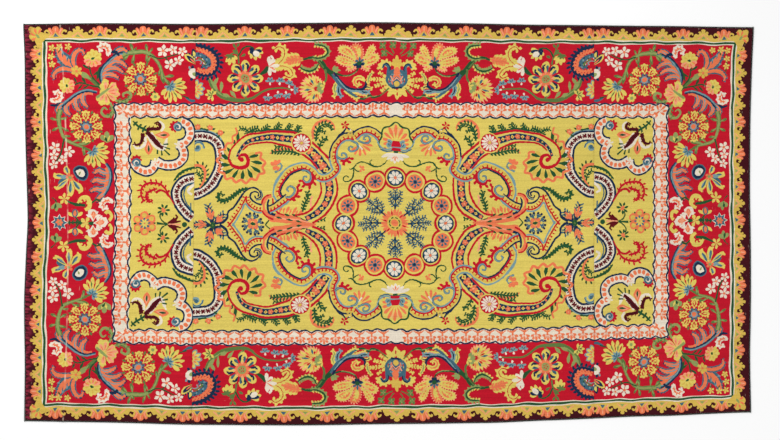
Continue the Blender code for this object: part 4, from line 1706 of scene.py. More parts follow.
    def carnation(self) -> None:
        """Draws the fan-shaped carnation in yellow, coral and blue."""
        chart = self.chart
        chart.stroke([(71.6, 155), (71, 145), (74.6, 139.4)], (2.4, 2.0), LEAF)
        base = (80.4, 135.6)
        chart.fan(base, 0, 244, 20, (10, 13, 15.8, 17.4, 18, 17.4, 15.8, 13, 10), 2.9, SALMON, 0.3, 2.0)
        chart.fan(base, 6, 236, 15, (9, 12, 14.6, 16.4, 17.2, 16.4, 14.6, 12, 9), 3.2, YELLOW, 0.4, 2.0)
        for k in range(14):
            angle = 220 * ((k + 0.5) / 14 - 0.5)
            yarn = (CORAL, CRIMSON, SLATE, GOLD)[k % 4]
            reach = (12.6, 10.4)[k % 2] - 2.4 * abs(angle) / 118
            chart.petal(polar(base, 4.6, angle), angle, reach - 4.6, 2.1, yarn, 0.3)
        chart.fan((73, 137), -14, 100, 5, 7.6, 3.8, LIME, 0.4)
        chart.fan((72.4, 138), 10, 130, 3, 5, 2.6, YELLOW, 0.3)

    def oak_leaf(self) -> None:
        """Draws the yellow oak leaf with its two curls, and the small white lily after it."""
        chart = self.chart
        chart.stroke([(128.6, 157), (132.6, 153), (137.6, 149.6)], (5.0, 4.0, 1.8), GREEN)
        chart.stroke([(137, 149.4), (140, 147)], 1.4, LEAF)
        axis = curve([(94, 165.4), (103, 164), (112, 161), (121, 159)])
        chart.leaflets(axis, 3.3, (8.6, 10.4, 9.4, 7.0), 4.0, YELLOW, 46)
        chart.line(axis, (3, 8, 7, 4), GOLD)
        chart.leaflets(axis[:-3], 3.4, (5.6, 6.4, 4.6), 2.3, CORAL, 46)
        chart.line(axis[:-3], (1.4, 3.6, 2.4), CORAL)
        for points in (
            [(120, 159.4), (114.6, 164), (112.4, 170), (114.6, 175.6), (119.4, 177.4), (123, 174.6)],
            [(119, 158.6), (112, 157), (106.6, 154), (104.6, 149.4), (108, 146.2), (112.6, 148)],
        ):
            path = chart.stroke(points, (4.4, 5.4, 4.6, 2.4), YELLOW)
            chart.leaflets(path, 4.2, 4.6, 3.0, YELLOW, 52)
            chart.line(path, (0.6, 0.9), CRIMSON)
        lily = (128.4, 158.4)
        chart.fan(lily, 178, 170, 5, (9.4, 9, 10.5, 9, 9.4), 4.0, IVORY, 0.5)
        chart.stroke([(127, 161), (124, 166), (126.4, 168.4)], (2.6, 2.2), IVORY)
        chart.fan(lily, 182, 60, 2, 7.4, 1.5, CORAL)

    def bell_sprays(self) -> None:
        """Draws the rosette, the two buds over it, and the sprig of blue bells beside it."""
        chart, flowers = self.chart, Flowers(self.chart)
        chart.stroke([(158, 160), (159, 168), (161.6, 176.4)], 1.7, LEAF)
        chart.stroke([(158.6, 168), (154.6, 174.6), (149, 177.6), (143, 176)], 1.6, GREEN)
        chart.stroke([(159.6, 170), (164.6, 171.4), (168, 168)], 1.6, LEAF)
        for u, v, turn in ((160, 171, 40), (156.4, 167, 150), (161.4, 176, 60), (161, 176, 120)):
            chart.petal((u, v), turn, 5.6, 2.8, LEAF, 0.3)
        chart.fan((166.4, 169.6), -100, 90, 4, (8, 10, 10, 8), 4.0, YELLOW, 0.6)
        chart.fan((167, 170.6), -80, 120, 4, 5.6, 2.6, LEAF)
        chart.fan((142.6, 175), -112, 150, 6, (7.6, 9.6, 10.6, 10.6, 9.6, 7.6), 4.0, YELLOW, 0.6)
        chart.fan((142.6, 175), -84, 160, 5, (8, 7.4, 7, 6, 5.4), 3.8, NAVY, 0.4)
        chart.oval((140.6, 171), (3.6, 3.0), 30, IVORY, 8)
        chart.stroke([(153, 131), (151, 127.6), (149.6, 125)], 1.8, LEAF)
        stem = chart.stroke([(104.9, 134.3), (112, 135.4), (120, 136), (129, 135.6), (137, 131.6),
            (143, 127), (150, 124.8), (161, 124.2), (170, 126.8), (178, 132), (184, 139), (187, 147)],
            (1.2, 1.6, 2.0, 3.0, 4.2, 5.0, 4.0), LEAF)
        chart.line(beside(stem[-16:], 0.6), (0.8, 1.8), LIME)
        for u, v, turn, length in (
            (152, 126.6, 62, 8), (160, 126, 48, 10), (166, 127, 30, 9), (176, 132, 94, 12),
            (179, 135, 60, 10), (184, 138, 120, 11), (181, 134, -20, 9),
        ):
            chart.petal((u, v), turn, length, 3.6, LIME, 0.3)
        for u, v, turn in (
            (107.6, 139.4, 100), (117, 142, 100), (127, 143, 92), (103, 134.6, 180),
            (110.6, 129.6, 250), (119, 129.8, 262), (129, 128.4, 275),
        ):
            chart.fan((u, v), turn, 150, 4, 4.8, 2.5, SKY, 0.5)
            chart.fan((u, v), turn, 60, 2, 3.6, 1.4, SLATE, 0.3)
            chart.petal((u, v), turn + 180, 3.4, 2.2, IVORY, 0.4)
        flowers.rosette((151.6, 146.2), 17.2, True)

    def paisley(self) -> None:
        """Draws the feathered palmette that the seam cuts through, and the small flowers under it."""
        chart = self.chart
        path = curve([(203, 180), (197, 178.4), (190, 176), (183.8, 171.6), (180, 165.6),
            (179.4, 158.4), (182.6, 152.6), (188.6, 150), (196, 150.6), (203, 153)])
        chart.area(np.vstack([path, [(206, 160), (206, 176)]]), CRIMSON)
        chart.leaflets(path, 3.5, (2, 5.4, 7.4, 7.4, 6.4, 3), 3.0, NAVY, 58, (-1,))
        chart.leaflets(path, 3.5, (1, 2.6, 3.6, 3.6, 2.4), 1.5, SLATE, 60, (-1,))
        chart.line(path, (2.0, 4.6, 4.6, 4.0, 2.4), NAVY)
        coral = beside(path, 3.6)[:-2]
        chart.leaflets(coral, 3.3, (2.4, 4.4, 4.6, 3.2), 2.4, CORAL, 40)
        chart.line(coral, (1.6, 3.8, 4.0, 2.6), CORAL)
        chart.leaflets(beside(coral, -1.4), 3.3, 2.2, 0.9, CRIMSON, 40, (1,))
        slate = beside(path, 8.6)[2:-4]
        chart.leaflets(slate, 3.2, 3.4, 2.2, SLATE, 44)
        chart.line(slate, (3.4, 5.2, 4.4, 2.4), SLATE)
        for k, (point, angle, _) in enumerate(stations(slate, 1.9)):
            yarn = (IVORY, NAVY, SKY, GREEN)[k % 4]
            chart.petal(polar(point, (2.2, -1.8, -0.6, 0.8)[k % 4], angle + 90), angle + 34, 2.8, 1.5,
                yarn)
        chart.line(beside(path, 12)[5:-7], 1.2, LEAF)
        chart.stroke([(203, 163.6), (198, 164.6), (194.6, 162.8), (196.4, 160.8)], (0.8, 1.2), SKY)
        for k, angle in enumerate((64, 30, -4, -38, -72)):
            for length, width, yarn in ((9.6, 5.2, SKY), (8.4, 3.6, YELLOW), (5.4, 1.6, CORAL)):
                chart.petal(polar((202, 135.4), 1, angle + 180), angle + 180, length, width, yarn, 0.4)
        chart.disc((202, 135.4), 3.4, YELLOW, 8)
        chart.disc((202, 135.4), 1.6, CRIMSON, 6)
        chart.fan((184, 130), 20, 220, 6, (6, 7.2, 8, 6.6, 5.6), 3.0, YELLOW, 0.2)
        chart.fan((184, 130), 20, 150, 4, 4.8, 1.6, LEAF)

    def seam_pieces(self) -> None:
        """Draws what the end panel holds beside the seam."""
        chart = self.chart
        for turn, length, yarns in ((70, 17, (NAVY, YELLOW, SKY)), (38, 17, (YELLOW, NAVY, CORAL))):
            for (share, width), yarn in zip(((1.0, 6.8), (0.86, 4.0), (0.6, 1.6)), yarns):
                chart.petal((198.4, 159.6), turn, length * share, width, yarn, 0.4)
        chart.leaflets(curve([(200, 163), (206, 168.6), (211, 170.6)]), 3.0, 2.6, 2.0, NAVY, 50, (1,))
        chart.stroke([(197, 172), (200.4, 168), (199.6, 161)], (2.8, 2.0), SLATE)
        for k in range(6):
            chart.petal(polar((202.6, 151.4), 3, 60 + 42 * k), 96 + 42 * k, 5.4, 3.2, NAVY, 0.6)
        chart.disc((202.6, 151.4), 5.2, IVORY, 10)
        chart.oval((201.6, 150.6), (2.6, 2.0), 20, LIME, 8)
        chart.petal((206, 153.6), 80, 4.6, 2.0, SKY, 0.5)
        chart.stroke([(211, 126.6), (205, 124), (198, 124.6)], (1.4, 3.0, 1.6), SLATE)
        chart.stroke([(214, 128.6), (207, 126.4)], (1.0, 1.8), GREEN)

    def vine(self) -> None:
        """Draws the vine of the long side's end, with its rosette, daisy and white flowers."""
        chart, flowers = self.chart, Flowers(self.chart)
        path = [(274, 168.6), (267.6, 171.6), (260, 172), (250.4, 171.4), (242, 167), (236.6, 159.6),
            (233.4, 150.6), (229.6, 144.6), (226, 140.6)]
        chart.stroke(path, (4.8, 5.0, 4.0, 3.2, 3.0, 2.4), LEAF)
        chart.stroke(path[:-1], (2.4, 2.6, 1.8, 1.4), LIME)
        for u, v, turn, length in (
            (262, 172, 70, 10), (264, 171, 130, 8), (261, 171, -78, 11), (266, 170, -40, 9),
            (248, 171, 74, 9), (247, 170, 120, 7),
            (249, 170.6, -94, 10), (245, 168, -60, 8), (235, 154, -106, 13), (232.6, 148, -132, 12),
            (231.6, 148, 168, 10), (236, 156, -84, 8),
        ):
            chart.petal((u, v), turn, length, length * 0.34, LEAF, 0.3)
            chart.petal((u, v), turn, length * 0.7, length * 0.16, LIME, 0.3)
        chart.stroke([(246, 169), (236, 166), (226, 168.6), (218, 171.6), (214, 174)], (1.4, 1.1),
            GREEN)
        chart.stroke([(231, 167), (226, 162)], 1.1, GREEN)
        for u, v, radius in ((233.3, 173.6, 6.2), (223.9, 174.9, 5.0), (214.6, 173.6, 4.8),
            (226, 160.2, 6.0), (217.6, 164.4, 5.0)):
            flowers.small_flower((u, v), radius, IVORY, CORAL)
        flowers.rosette((255, 144.9), 16.2, False)
        flowers.half_daisy((225.6, 139.6), 232, 17)
        chart.fan((241, 128), -20, 200, 5, (6, 6, 5, 6, 6), 2.4, GREEN)
        chart.wreath((241, 127.2), 0, 4.6, 6, 3.2, YELLOW, 0.6)
        chart.disc((241, 127.2), 1.8, LIME, 6)

    def corner(self) -> None:
        """Draws the corner's orchid, the lily that grows outwards from it and the leaves beside them."""
        chart, flowers = self.chart, Flowers(self.chart)
        chart.stroke([(279.6, 124.2), (273, 122.8), (267, 124.6), (264.8, 128.6), (268, 132.2),
            (272.6, 130.6), (271.6, 127.4)], (2.4, 3.0, 2.8, 1.6), LIME, 1.6)
        chart.leaflets(curve([(279, 124.6), (272, 122.8), (266, 126)]), 4, 4, 1.9, LEAF, 50, (-1, 1))
        chart.stroke([(285, 121), (282, 114.6), (284.6, 108), (290.6, 107), (293.6, 111.4),
            (291, 115.4), (287.6, 113.4)], (2.6, 3.2, 2.6, 1.4), LIME, 1.6)
        chart.leaflets(curve([(284.6, 119), (282.6, 112), (286, 107)]), 4, 4, 1.9, LEAF, 50, (-1, 1))
        chart.stroke([(293, 134), (301, 141.6), (309, 148)], (2.6, 4.0, 3.2), LEAF)
        chart.petal((304, 143.6), 40, 14, 5.4, LIME, 0.3)
        chart.stroke([(296, 139), (303, 147), (304.6, 157), (302.6, 162)], 1.6, GREEN)
        chart.stroke([(296, 136.6), (306, 138.6), (316, 141.6), (322, 139)], 1.6, GREEN)
        for u, v, turn, length in (
            (303, 148, 150, 10), (304.6, 154, 40, 9), (299, 143, 110, 13), (296, 142, 96, 16),
            (309, 139.6, 60, 9), (312, 140.4, -50, 8), (318, 141, 66, 7), (306, 138.6, -30, 7),
        ):
            chart.petal((u, v), turn, length, length * 0.3, GREEN, 0.2)
        for points, width in (
            ([(318, 154), (325, 160.6), (331.6, 167), (337, 175.6)], 13.0),
            ([(318, 155), (320.6, 163), (319.6, 170.6), (315.6, 174.6), (311.6, 173.4), (310.6, 170)],
                6.4),
            ([(319, 153.4), (328, 155.4), (336.6, 153.4), (340.6, 149), (339.6, 145)], 6.4),
        ):
            flowers.plume(points, width, 1.7)
        for u, v, turn in ((326, 162, 84), (331, 166.6, 88), (330, 161.4, 8), (335, 167, 4)):
            chart.petal((u, v), turn, 6.4, 2.0, SKY, 0.3)
            chart.petal((u, v), turn, 4.4, 0.9, NAVY)
        flowers.small_flower((317.8, 153.8), 5.8, GOLD, CORAL, 6)
        flowers.poppy((301.8, 165), 8.8, -80)
        flowers.poppy((327.6, 138.6), 7.8, 200)
        for u, v in ((342, 176), (334.9, 177), (326.2, 177), (342.2, 167.6), (341.4, 160)):
            flowers.small_flower((u, v), 3.6, YELLOW, GOLD)
            chart.petal((u - 1, v - 2), -70, 4.4, 1.4, GREEN)
        flowers.acanthus(
            [(291.6, 137), (294.4, 145), (293, 154), (287, 162), (279, 168.6), (272, 171)],
            (
                [(293, 147), (288.6, 149.6), (282.6, 149), (277, 146.4)],
                [(292, 152), (285.6, 155.6), (278.6, 155.8), (272, 152.6)],
                [(288, 159), (281, 162.8), (274, 162), (268.6, 158)],
                [(281, 167), (277.6, 172.6), (272.6, 175), (268, 173)],
            ),
        )
        chart.stroke([(287, 176), (284, 172), (279, 171.6), (276, 168)], (1.6, 3.4, 2.0), NAVY)
        flowers.pale_curl((291, 173.8), 20)
        flowers.acanthus(
            [(298, 132), (308, 133.4), (318, 130.4), (326, 124.6), (333, 117.6)],
            (
                [(310, 132), (312.4, 126.6), (311, 121), (307, 117)],
                [(317, 129.6), (319.6, 123.6), (318, 117), (314, 112.6)],
                [(325, 124.6), (328.4, 119), (327.4, 113), (323.6, 109)],
                [(330, 121), (334, 117), (335.6, 112.4), (333, 108.6)],
            ),
        )
        chart.stroke([(344, 118.6), (338, 118), (334, 121)], (1.4, 3.0, 1.6), NAVY)
        flowers.pale_curl((338.6, 127.6), 110)
        orchid = (289.4, 131)
        for turn, length in ((84, 14), (62, 10.6), (132, 13.4), (158, 12.6), (182, 13.6), (212, 12.4),
            (262, 13), (288, 14), (318, 11.6), (20, 6)):
            chart.petal(orchid, turn, length, 6.0, YELLOW, 0.8)
            for side in (-1, 1):
                chart.petal(polar(orchid, length * 0.55, turn), turn + side * 34, length * 0.4, 2.8,
                    YELLOW, 0.3)
        for turn, length in ((84, 9.4), (132, 12.6), (160, 10.6), (184, 12.4), (214, 10.6), (262, 9.4),
            (300, 8)):
            chart.petal(polar(orchid, 1.4, turn), turn, length, 3.8, SALMON, 0.5)
            chart.petal(polar(orchid, 2.4, turn), turn, length * 0.6, 1.3, CORAL, 0.3)
        chart.stroke([(298, 126), (292, 130.6), (286, 135.4)], (2.6, 2.8, 1.4), LIME)

    def end_side(self) -> None:
        """Draws the flowers down the end, from the corner towards the middle line."""
        chart, flowers = self.chart, Flowers(self.chart)
        vine = [(333, 114), (334.6, 108), (335, 101), (333.4, 92), (329.4, 84), (321.6, 79.6),
            (312, 76.6), (303.6, 72.4)]
        chart.stroke(vine, (5.2, 4.8, 3.0, 3.4, 3.0, 2.0), LEAF)
        chart.stroke(vine[:-1], (2.6, 2.4, 1.4), LIME)
        for u, v, turn, length in (
            (335, 103, 14, 9), (335, 104, 166, 9), (334.6, 97, -30, 9), (333.6, 97, 214, 9),
            (332, 88, 190, 8),
            (318, 79, 168, 14), (313, 77, -112, 9), (310, 76, -82, 8), (322, 80.6, 150, 9),
        ):
            chart.petal((u, v), turn, length, length * 0.36, LEAF, 0.3)
            chart.petal((u, v), turn, length * 0.7, length * 0.17, LIME, 0.3)
        chart.stroke([(330.4, 85), (332.4, 76), (335, 68), (339, 61)], (1.8, 1.2), GREEN)
        for u, v, radius in ((339.8, 76.2, 5.8), (325.9, 71.2, 5.8), (341, 68.6, 4.8),
            (331.6, 63.6, 5.0), (340.4, 59.4, 4.8)):
            flowers.small_flower((u, v), radius, IVORY, CORAL)
        flowers.rosette((308.6, 97.3), 15.8, False)
        chart.fan((288.8, 80.4), 90, 76, 3, (9.6, 11.6, 9.6), 5.4, LIME, 0.6)
        chart.fan((288.8, 80.4), 90, 40, 2, 8, 2.2, YELLOW)
        chart.petal((288, 81), 60, 6, 2.6, GREEN)
        flowers.half_daisy((302.2, 72.6), 226, 17)
        flowers.acanthus(
            [(289.6, 60), (285.6, 53), (284.8, 44.6), (287.6, 36), (292, 28)],
            (
                [(285, 50), (291, 50.6), (297, 53.4), (301, 50)],
                [(285.4, 43.6), (292.4, 42), (299, 43.8), (304, 41)],
                [(287.6, 37.6), (294, 34), (300.4, 34.6), (305.6, 32)],
                [(290.6, 31), (295.6, 27), (299, 22.6)],
            ),
        )
        flowers.pale_curl((289, 18), -60)
        chart.stroke([(294.6, 22), (299, 24), (303.6, 20.6)], (2.4, 1.4), GREEN)
        heart = (325.4, 45.2)
        chart.petal(heart, -26, 13.4, 6.4, SLATE, 0.6)
        for turn, length, width in ((71, 11.6, 6.0), (10, 16.6, 6.0), (-40, 18.6, 5.0),
            (-92, 18.8, 6.6), (-130, 18.4, 7.4)):
            chart.petal(heart, turn, length, width, YELLOW, 0.6)
            chart.petal(polar(heart, length * 0.86, turn), turn + 64, length * 0.24, 2.6, YELLOW)
            chart.petal(polar(heart, length * 0.5, turn), turn - 36, length * 0.24, 2.4, YELLOW)
            chart.petal(polar(heart, 3.4, turn), turn + 4, length * 0.62, width * 0.42, SLATE, 0.4)
            chart.petal(polar(heart, 5.4, turn - 8), turn + 4, length * 0.44, 1.2, SKY, 0.4)
        chart.blob([(321, 53), (316, 57.4), (309.4, 55.4), (307.4, 48.6), (311.4, 42.8), (317.6, 44.6)],
            NAVY, SLATE, 1.3)
        chart.blob([(319, 51.6), (315, 54.2), (311, 52.2), (310.6, 47.6), (314.6, 46)], IVORY)
        chart.petal((316.8, 47.6), 120, 5, 1.6, LIME)
        chart.petal(heart, 4, 9.6, 4.4, SKY, 0.5)
        chart.wreath(heart, 0, 4.4, 5, 3.0, CORAL, 0.6)
        chart.disc(heart, 1.7, LIME, 6)
        chart.stroke([(344, 26), (340.6, 22.6), (338.8, 19)], 1.2, GREEN)
        chart.fan((340, 20.6), -94, 76, 3, (8, 9.6, 8), 4.4, LIME, 0.5)
        chart.petal((340, 20), -80, 7, 2.4, GREEN)
        chart.stroke([(329, 21.6), (320, 18.4), (310, 17.4)], (1.6, 3.4, 2.6), GREEN)
        chart.wreath((331.6, 23.6), 0, 6.0, 5, 3.2, YELLOW, 0.4, 20)
        chart.stroke([(318, 19.6), (313.6, 25), (308.6, 25.4), (305.6, 21), (306.6, 15.6), (311, 13)],
            (2.0, 4.0, 4.4, 3.0), YELLOW)
        chart.leaflets(curve([(318, 20), (312, 25.6), (306, 21)]), 4.0, 4.0, 2.4, YELLOW, 60, (1,))

    def end_axis(self) -> None:
        """Draws the flowers on the end's middle line."""
        chart = self.chart
        chart.line([(330, 0), (313, 0)], (1.4, 2.4), GREEN)
        chart.leaflets(curve([(329, 0), (322, 0), (315, 0)]), 3.4, 3.4, 1.7, GREEN, 50)
        chart.star((336, 0), (8.6, 5.4), 8, IVORY)
        chart.star((336, 0), (7.8, 4.6), 8, SLATE)
        chart.wreath((336, 0), 0, 3.8, 6, 2.4, CORAL, 0.6)
        chart.disc((336, 0), 1.1, LIME, 6)
        for side in (-1, 1):
            cup = (321, side * 9.4)
            chart.stroke([(316.4, side * 1), (319, side * 4), (320.6, side * 6)], 1.3, GREEN)
            chart.fan((320.6, side * 5.2), side * 90, 110, 4, (9, 7, 7, 9), 3.4, YELLOW, 0.4)
            chart.oval(cup, (3.0, 4.4), 0, SLATE, 10)
            chart.oval(cup, (1.7, 3.2), 0, CORAL, 8)
            chart.petal((303, side * 1.6), side * 88, 12.6, 9.4, IVORY, 0.9)
            chart.fan((302.6, side * 6), side * 92, 150, 5, 7.6, 3.0, IVORY, 0.3)
            chart.petal((302.6, side * 3.6), side * 92, 8.6, 4.6, CORAL, 0.7)
            chart.fan((302.4, side * 6.6), side * 92, 100, 3, 4.8, 1.5, SALMON)
            curl = [(290.6, side * 8.6), (287.4, side * 11.2), (284.6, side * 8.4), (284.8, side * 4),
                (287, side * 1.6)]
            path = chart.stroke(curl, (3.4, 3.2, 2.2), YELLOW)
            chart.leaflets(path, 3.2, 2.4, 2.0, YELLOW, 60, (side,))
        chart.wreath((309.6, 0), 0, 6.6, 5, 4.0, YELLOW, 0.3, 36)
        chart.oval((304.6, 0), (3.2, 2.2), 0, GREEN, 8)
        chart.petal((303, 0), 180, 14.6, 10.6, IVORY, 0.8)
        chart.fan((298.6, 0), 180, 170, 7, (8.4, 8.6, 9.6, 11, 9.6, 8.6, 8.4), 3.2, IVORY, 0.3)
        chart.petal((301.6, 0), 180, 10, 5.4, CORAL, 0.6)
        chart.fan((298, 0), 180, 120, 5, 5.6, 1.5, SALMON)


def woven_chart() -> Chart:
    """Draws the whole carpet's pattern.

    Returns:
        The chart, with all its patches in order.
    """
    chart = Chart()
    for motif in (GroundWork, OuterGuard, MainBorder, InnerGuard, SideOrnaments, FieldScrolls,
        Medallion):
        motif(chart).draw()
    return chart


def simplified(line: np.ndarray, tolerance: float) -> list[int]:
    """Picks the corners that a line needs.

    Args:
        line: The line's points, one row each.
        tolerance: How far the line may move.

    Returns:
        The kept points' row numbers, with both ends.
    """
    kept = {0, len(line) - 1}
    spans = [(0, len(line) - 1)]
    while spans:
        start, end = spans.pop()
        if end - start < 2:
            continue
        along = line[end] - line[start]
        length = math.hypot(*along)
        inner = line[start + 1:end] - line[start]
        if length < 1e-9:
            away = np.hypot(inner[:, 0], inner[:, 1])
        else:
            away = np.abs(inner[:, 0] * along[1] - inner[:, 1] * along[0]) / length
        furthest = int(np.argmax(away))
        if away[furthest] > tolerance:
            middle = start + 1 + furthest
            kept.add(middle)
            spans += [(start, middle), (middle, end)]
    return sorted(kept)


def height_tree(corners: np.ndarray, faces: Sequence[Sequence[int]]) -> BVHTree:
    """Makes the search tree of a mesh."""
    return BVHTree.FromPolygons([tuple(map(float, c)) for c in corners], faces)


@dataclass
class ClothShape:
    """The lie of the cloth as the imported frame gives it.

    Attributes:
        nodes: The frame's objects by name.
        thickness: How thick the cloth is.
        height_step: The spacing at which the cloth's height is read.
        edge_step: The spacing at which its edges are read.
        furthest: How far an edge may stray from its middle place; a reading past that has missed its edge.
        smoothing: How many readings of an edge are averaged.
        outside: A distance from the middle that lies outside the carpet.
        lines: Each edge and seam, as places along it and how far out it lies there.
    """

    nodes: dict[str, bpy.types.Object]
    thickness: float = 0.007
    height_step: float = 0.008
    edge_step: float = 0.02
    furthest: float = 0.1
    smoothing: int = 9
    outside: float = 4.0
    lines: dict[str, tuple[np.ndarray, np.ndarray]] = field(default_factory=dict)

    def __post_init__(self) -> None:
        """Reads the edges, the seams and the heights."""
        trees = {}
        for name in ("left_panel", "centre_panel", "right_panel"):
            mesh = self.nodes[name].data
            corners = np.array([v.co[:] for v in mesh.vertices])
            trees[name] = height_tree(corners, [p.vertices[:] for p in mesh.polygons])
        low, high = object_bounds()
        self.low, self.high = np.array(low[:2]), np.array(high[:2])
        level = 0.95 * self.thickness
        across = np.arange(self.low[0] + 0.02, self.high[0] - 0.02, self.edge_step)
        along = np.arange(self.low[1] + 0.03, self.high[1] - 0.03, self.edge_step)
        reach = self.outside

        def read(
            names: Sequence[str], origin: Callable, direction: tuple, places: np.ndarray, axis: int
        ) -> None:
            """Casts rays at some panels' sides and keeps the edge that they meet.

            Args:
                names: The panels.
                origin: Gives the start of the ray for a place.
                direction: Where the rays go.
                places: The places along the edge.
                axis: Which of the hit point's numbers is kept.
            """
            found = []
            for place in places:
                hits = [trees[n].ray_cast(origin(float(place)), direction)[0] for n in names]
                hits = [hit[axis] for hit in hits if hit is not None]
                outermost = max if max(direction) <= 0 else min
                found.append(outermost(hits) if hits else math.nan)
            found = np.array(found)
            good = np.abs(found - np.nanmedian(found)) < self.furthest
            values = np.interp(places, places[good], found[good])
            wide = np.pad(values, self.smoothing // 2, mode="edge")
            evenly = np.ones(self.smoothing) / self.smoothing
            self.lines[key] = (places, np.convolve(wide, evenly, mode="valid"))

        panels = tuple(trees)
        for key, names, origin, direction, places, axis in (
            ("back", panels, lambda x: (x, reach, level), (0, -1, 0), across, 1),
            ("front", panels, lambda x: (x, -reach, level), (0, 1, 0), across, 1),
            ("left", panels[:1], lambda y: (-reach, y, level), (1, 0, 0), along, 0),
            ("right", panels[2:], lambda y: (reach, y, level), (-1, 0, 0), along, 0),
            ("left_seam_out", panels[:1], lambda y: (0.0, y, level), (-1, 0, 0), along, 0),
            ("left_seam_in", panels[1:2], lambda y: (-2.0, y, level), (1, 0, 0), along, 0),
            ("right_seam_in", panels[1:2], lambda y: (2.0, y, level), (-1, 0, 0), along, 0),
            ("right_seam_out", panels[2:], lambda y: (0.0, y, level), (1, 0, 0), along, 0),
        ):
            read(names, origin, direction, places, axis)
        self.read_heights(trees)

    def read_heights(self, trees: dict[str, BVHTree]) -> None:
        """Reads how high the underside lies, on a grid, and softens the frame's flat facets.

        Args:
            trees: Each panel's solid, as a tree that rays are cast at.
        """
        self.grid_x = np.arange(self.low[0], self.high[0] + self.height_step, self.height_step)
        self.grid_y = np.arange(self.low[1], self.high[1] + self.height_step, self.height_step)
        heights = np.zeros((len(self.grid_x), len(self.grid_y)))
        seams = [float(np.mean(self.lines[key][1])) for key in ("left_seam_out", "right_seam_out")]
        for i, x in enumerate(self.grid_x):
            name = "left_panel" if x < seams[0] else ("right_panel" if x > seams[1] else "centre_panel")
            for j, y in enumerate(self.grid_y):
                hit = trees[name].ray_cast((float(x), float(y), 1.0), (0, 0, -1))[0]
                heights[i, j] = max(0.0, hit.z - self.thickness) if hit is not None else math.nan
        for row in heights:
            good = ~np.isnan(row)
            if good.any():
                row[~good] = np.interp(np.flatnonzero(~good), np.flatnonzero(good), row[good])
        heights = np.nan_to_num(heights)
        for _ in range(2):
            wide = np.pad(heights, 1, mode="edge")
            heights = (wide[:-2, 1:-1] + wide[2:, 1:-1] + wide[1:-1, :-2] + wide[1:-1,
                2:] + 2 * wide[1:-1, 1:-1]) / 6
        self.heights = heights

    def edge(self, name: str, places: np.ndarray) -> np.ndarray:
        """Gives where an edge or a seam lies."""
        return np.interp(places, *self.lines[name])

    def lift(self, x: np.ndarray, y: np.ndarray) -> np.ndarray:
        """Gives how high the underside lies at places.

        Args:
            x: The place along the carpet.
            y: The place across it.

        Returns:
            The underside's height at each place.
        """
        column = np.clip((x - self.grid_x[0]) / self.height_step, 0, len(self.grid_x) - 1.001)
        row = np.clip((y - self.grid_y[0]) / self.height_step, 0, len(self.grid_y) - 1.001)
        i, j = column.astype(int), row.astype(int)
        s, t = column - i, row - j
        h = self.heights
        front = h[i, j] * (1 - s) + h[i + 1, j] * s
        back = h[i, j + 1] * (1 - s) + h[i + 1, j + 1] * s
        return front * (1 - t) + back * t

    def creased(self, least: float) -> np.ndarray:
        """Gives the places where the cloth bends sharply, as rows of x and y.

        Args:
            least: The least bend that counts.

        Returns:
            The places that bend more, one row each.
        """
        h = self.heights
        bend = np.zeros_like(h)
        bend[1:-1] += np.abs(h[2:] - 2 * h[1:-1] + h[:-2])
        bend[:, 1:-1] += np.abs(h[:, 2:] - 2 * h[:, 1:-1] + h[:, :-2])
        i, j = np.nonzero(bend > least)
        chosen = (i + j) % 2 == 0
        return np.column_stack([self.grid_x[i[chosen]], self.grid_y[j[chosen]]])

    def laid(self, squares: np.ndarray) -> np.ndarray:
        """Takes points of the chart to their places on the floor.

        Args:
            squares: The points' u and v, one row each.

        Returns:
            Their x and y in metres.
        """
        u, v = squares[:, 0], squares[:, 1]
        share = (v + EDGE_V) / (2 * EDGE_V)
        y = (share - 0.5) * (self.high[1] - self.low[1])
        for _ in range(3):
            middle = np.full_like(y, CHART_MIDDLE_X)
            out = np.abs(u)
            past, end = out - SEAM_U, EDGE_U - SEAM_U
            halves = []
            for side in ("left", "right"):
                inner, seam, edge = (self.edge(side + part, y) for part in ("_seam_in", "_seam_out", ""))
                near = middle + (inner - middle) * out / SEAM_U
                halves.append(np.where(out <= SEAM_U, near, seam + (edge - seam) * past / end))
            x = np.where(u > 0, *halves)
            front = self.edge("front", x)
            y = front + (self.edge("back", x) - front) * share
        return np.column_stack([x, y])


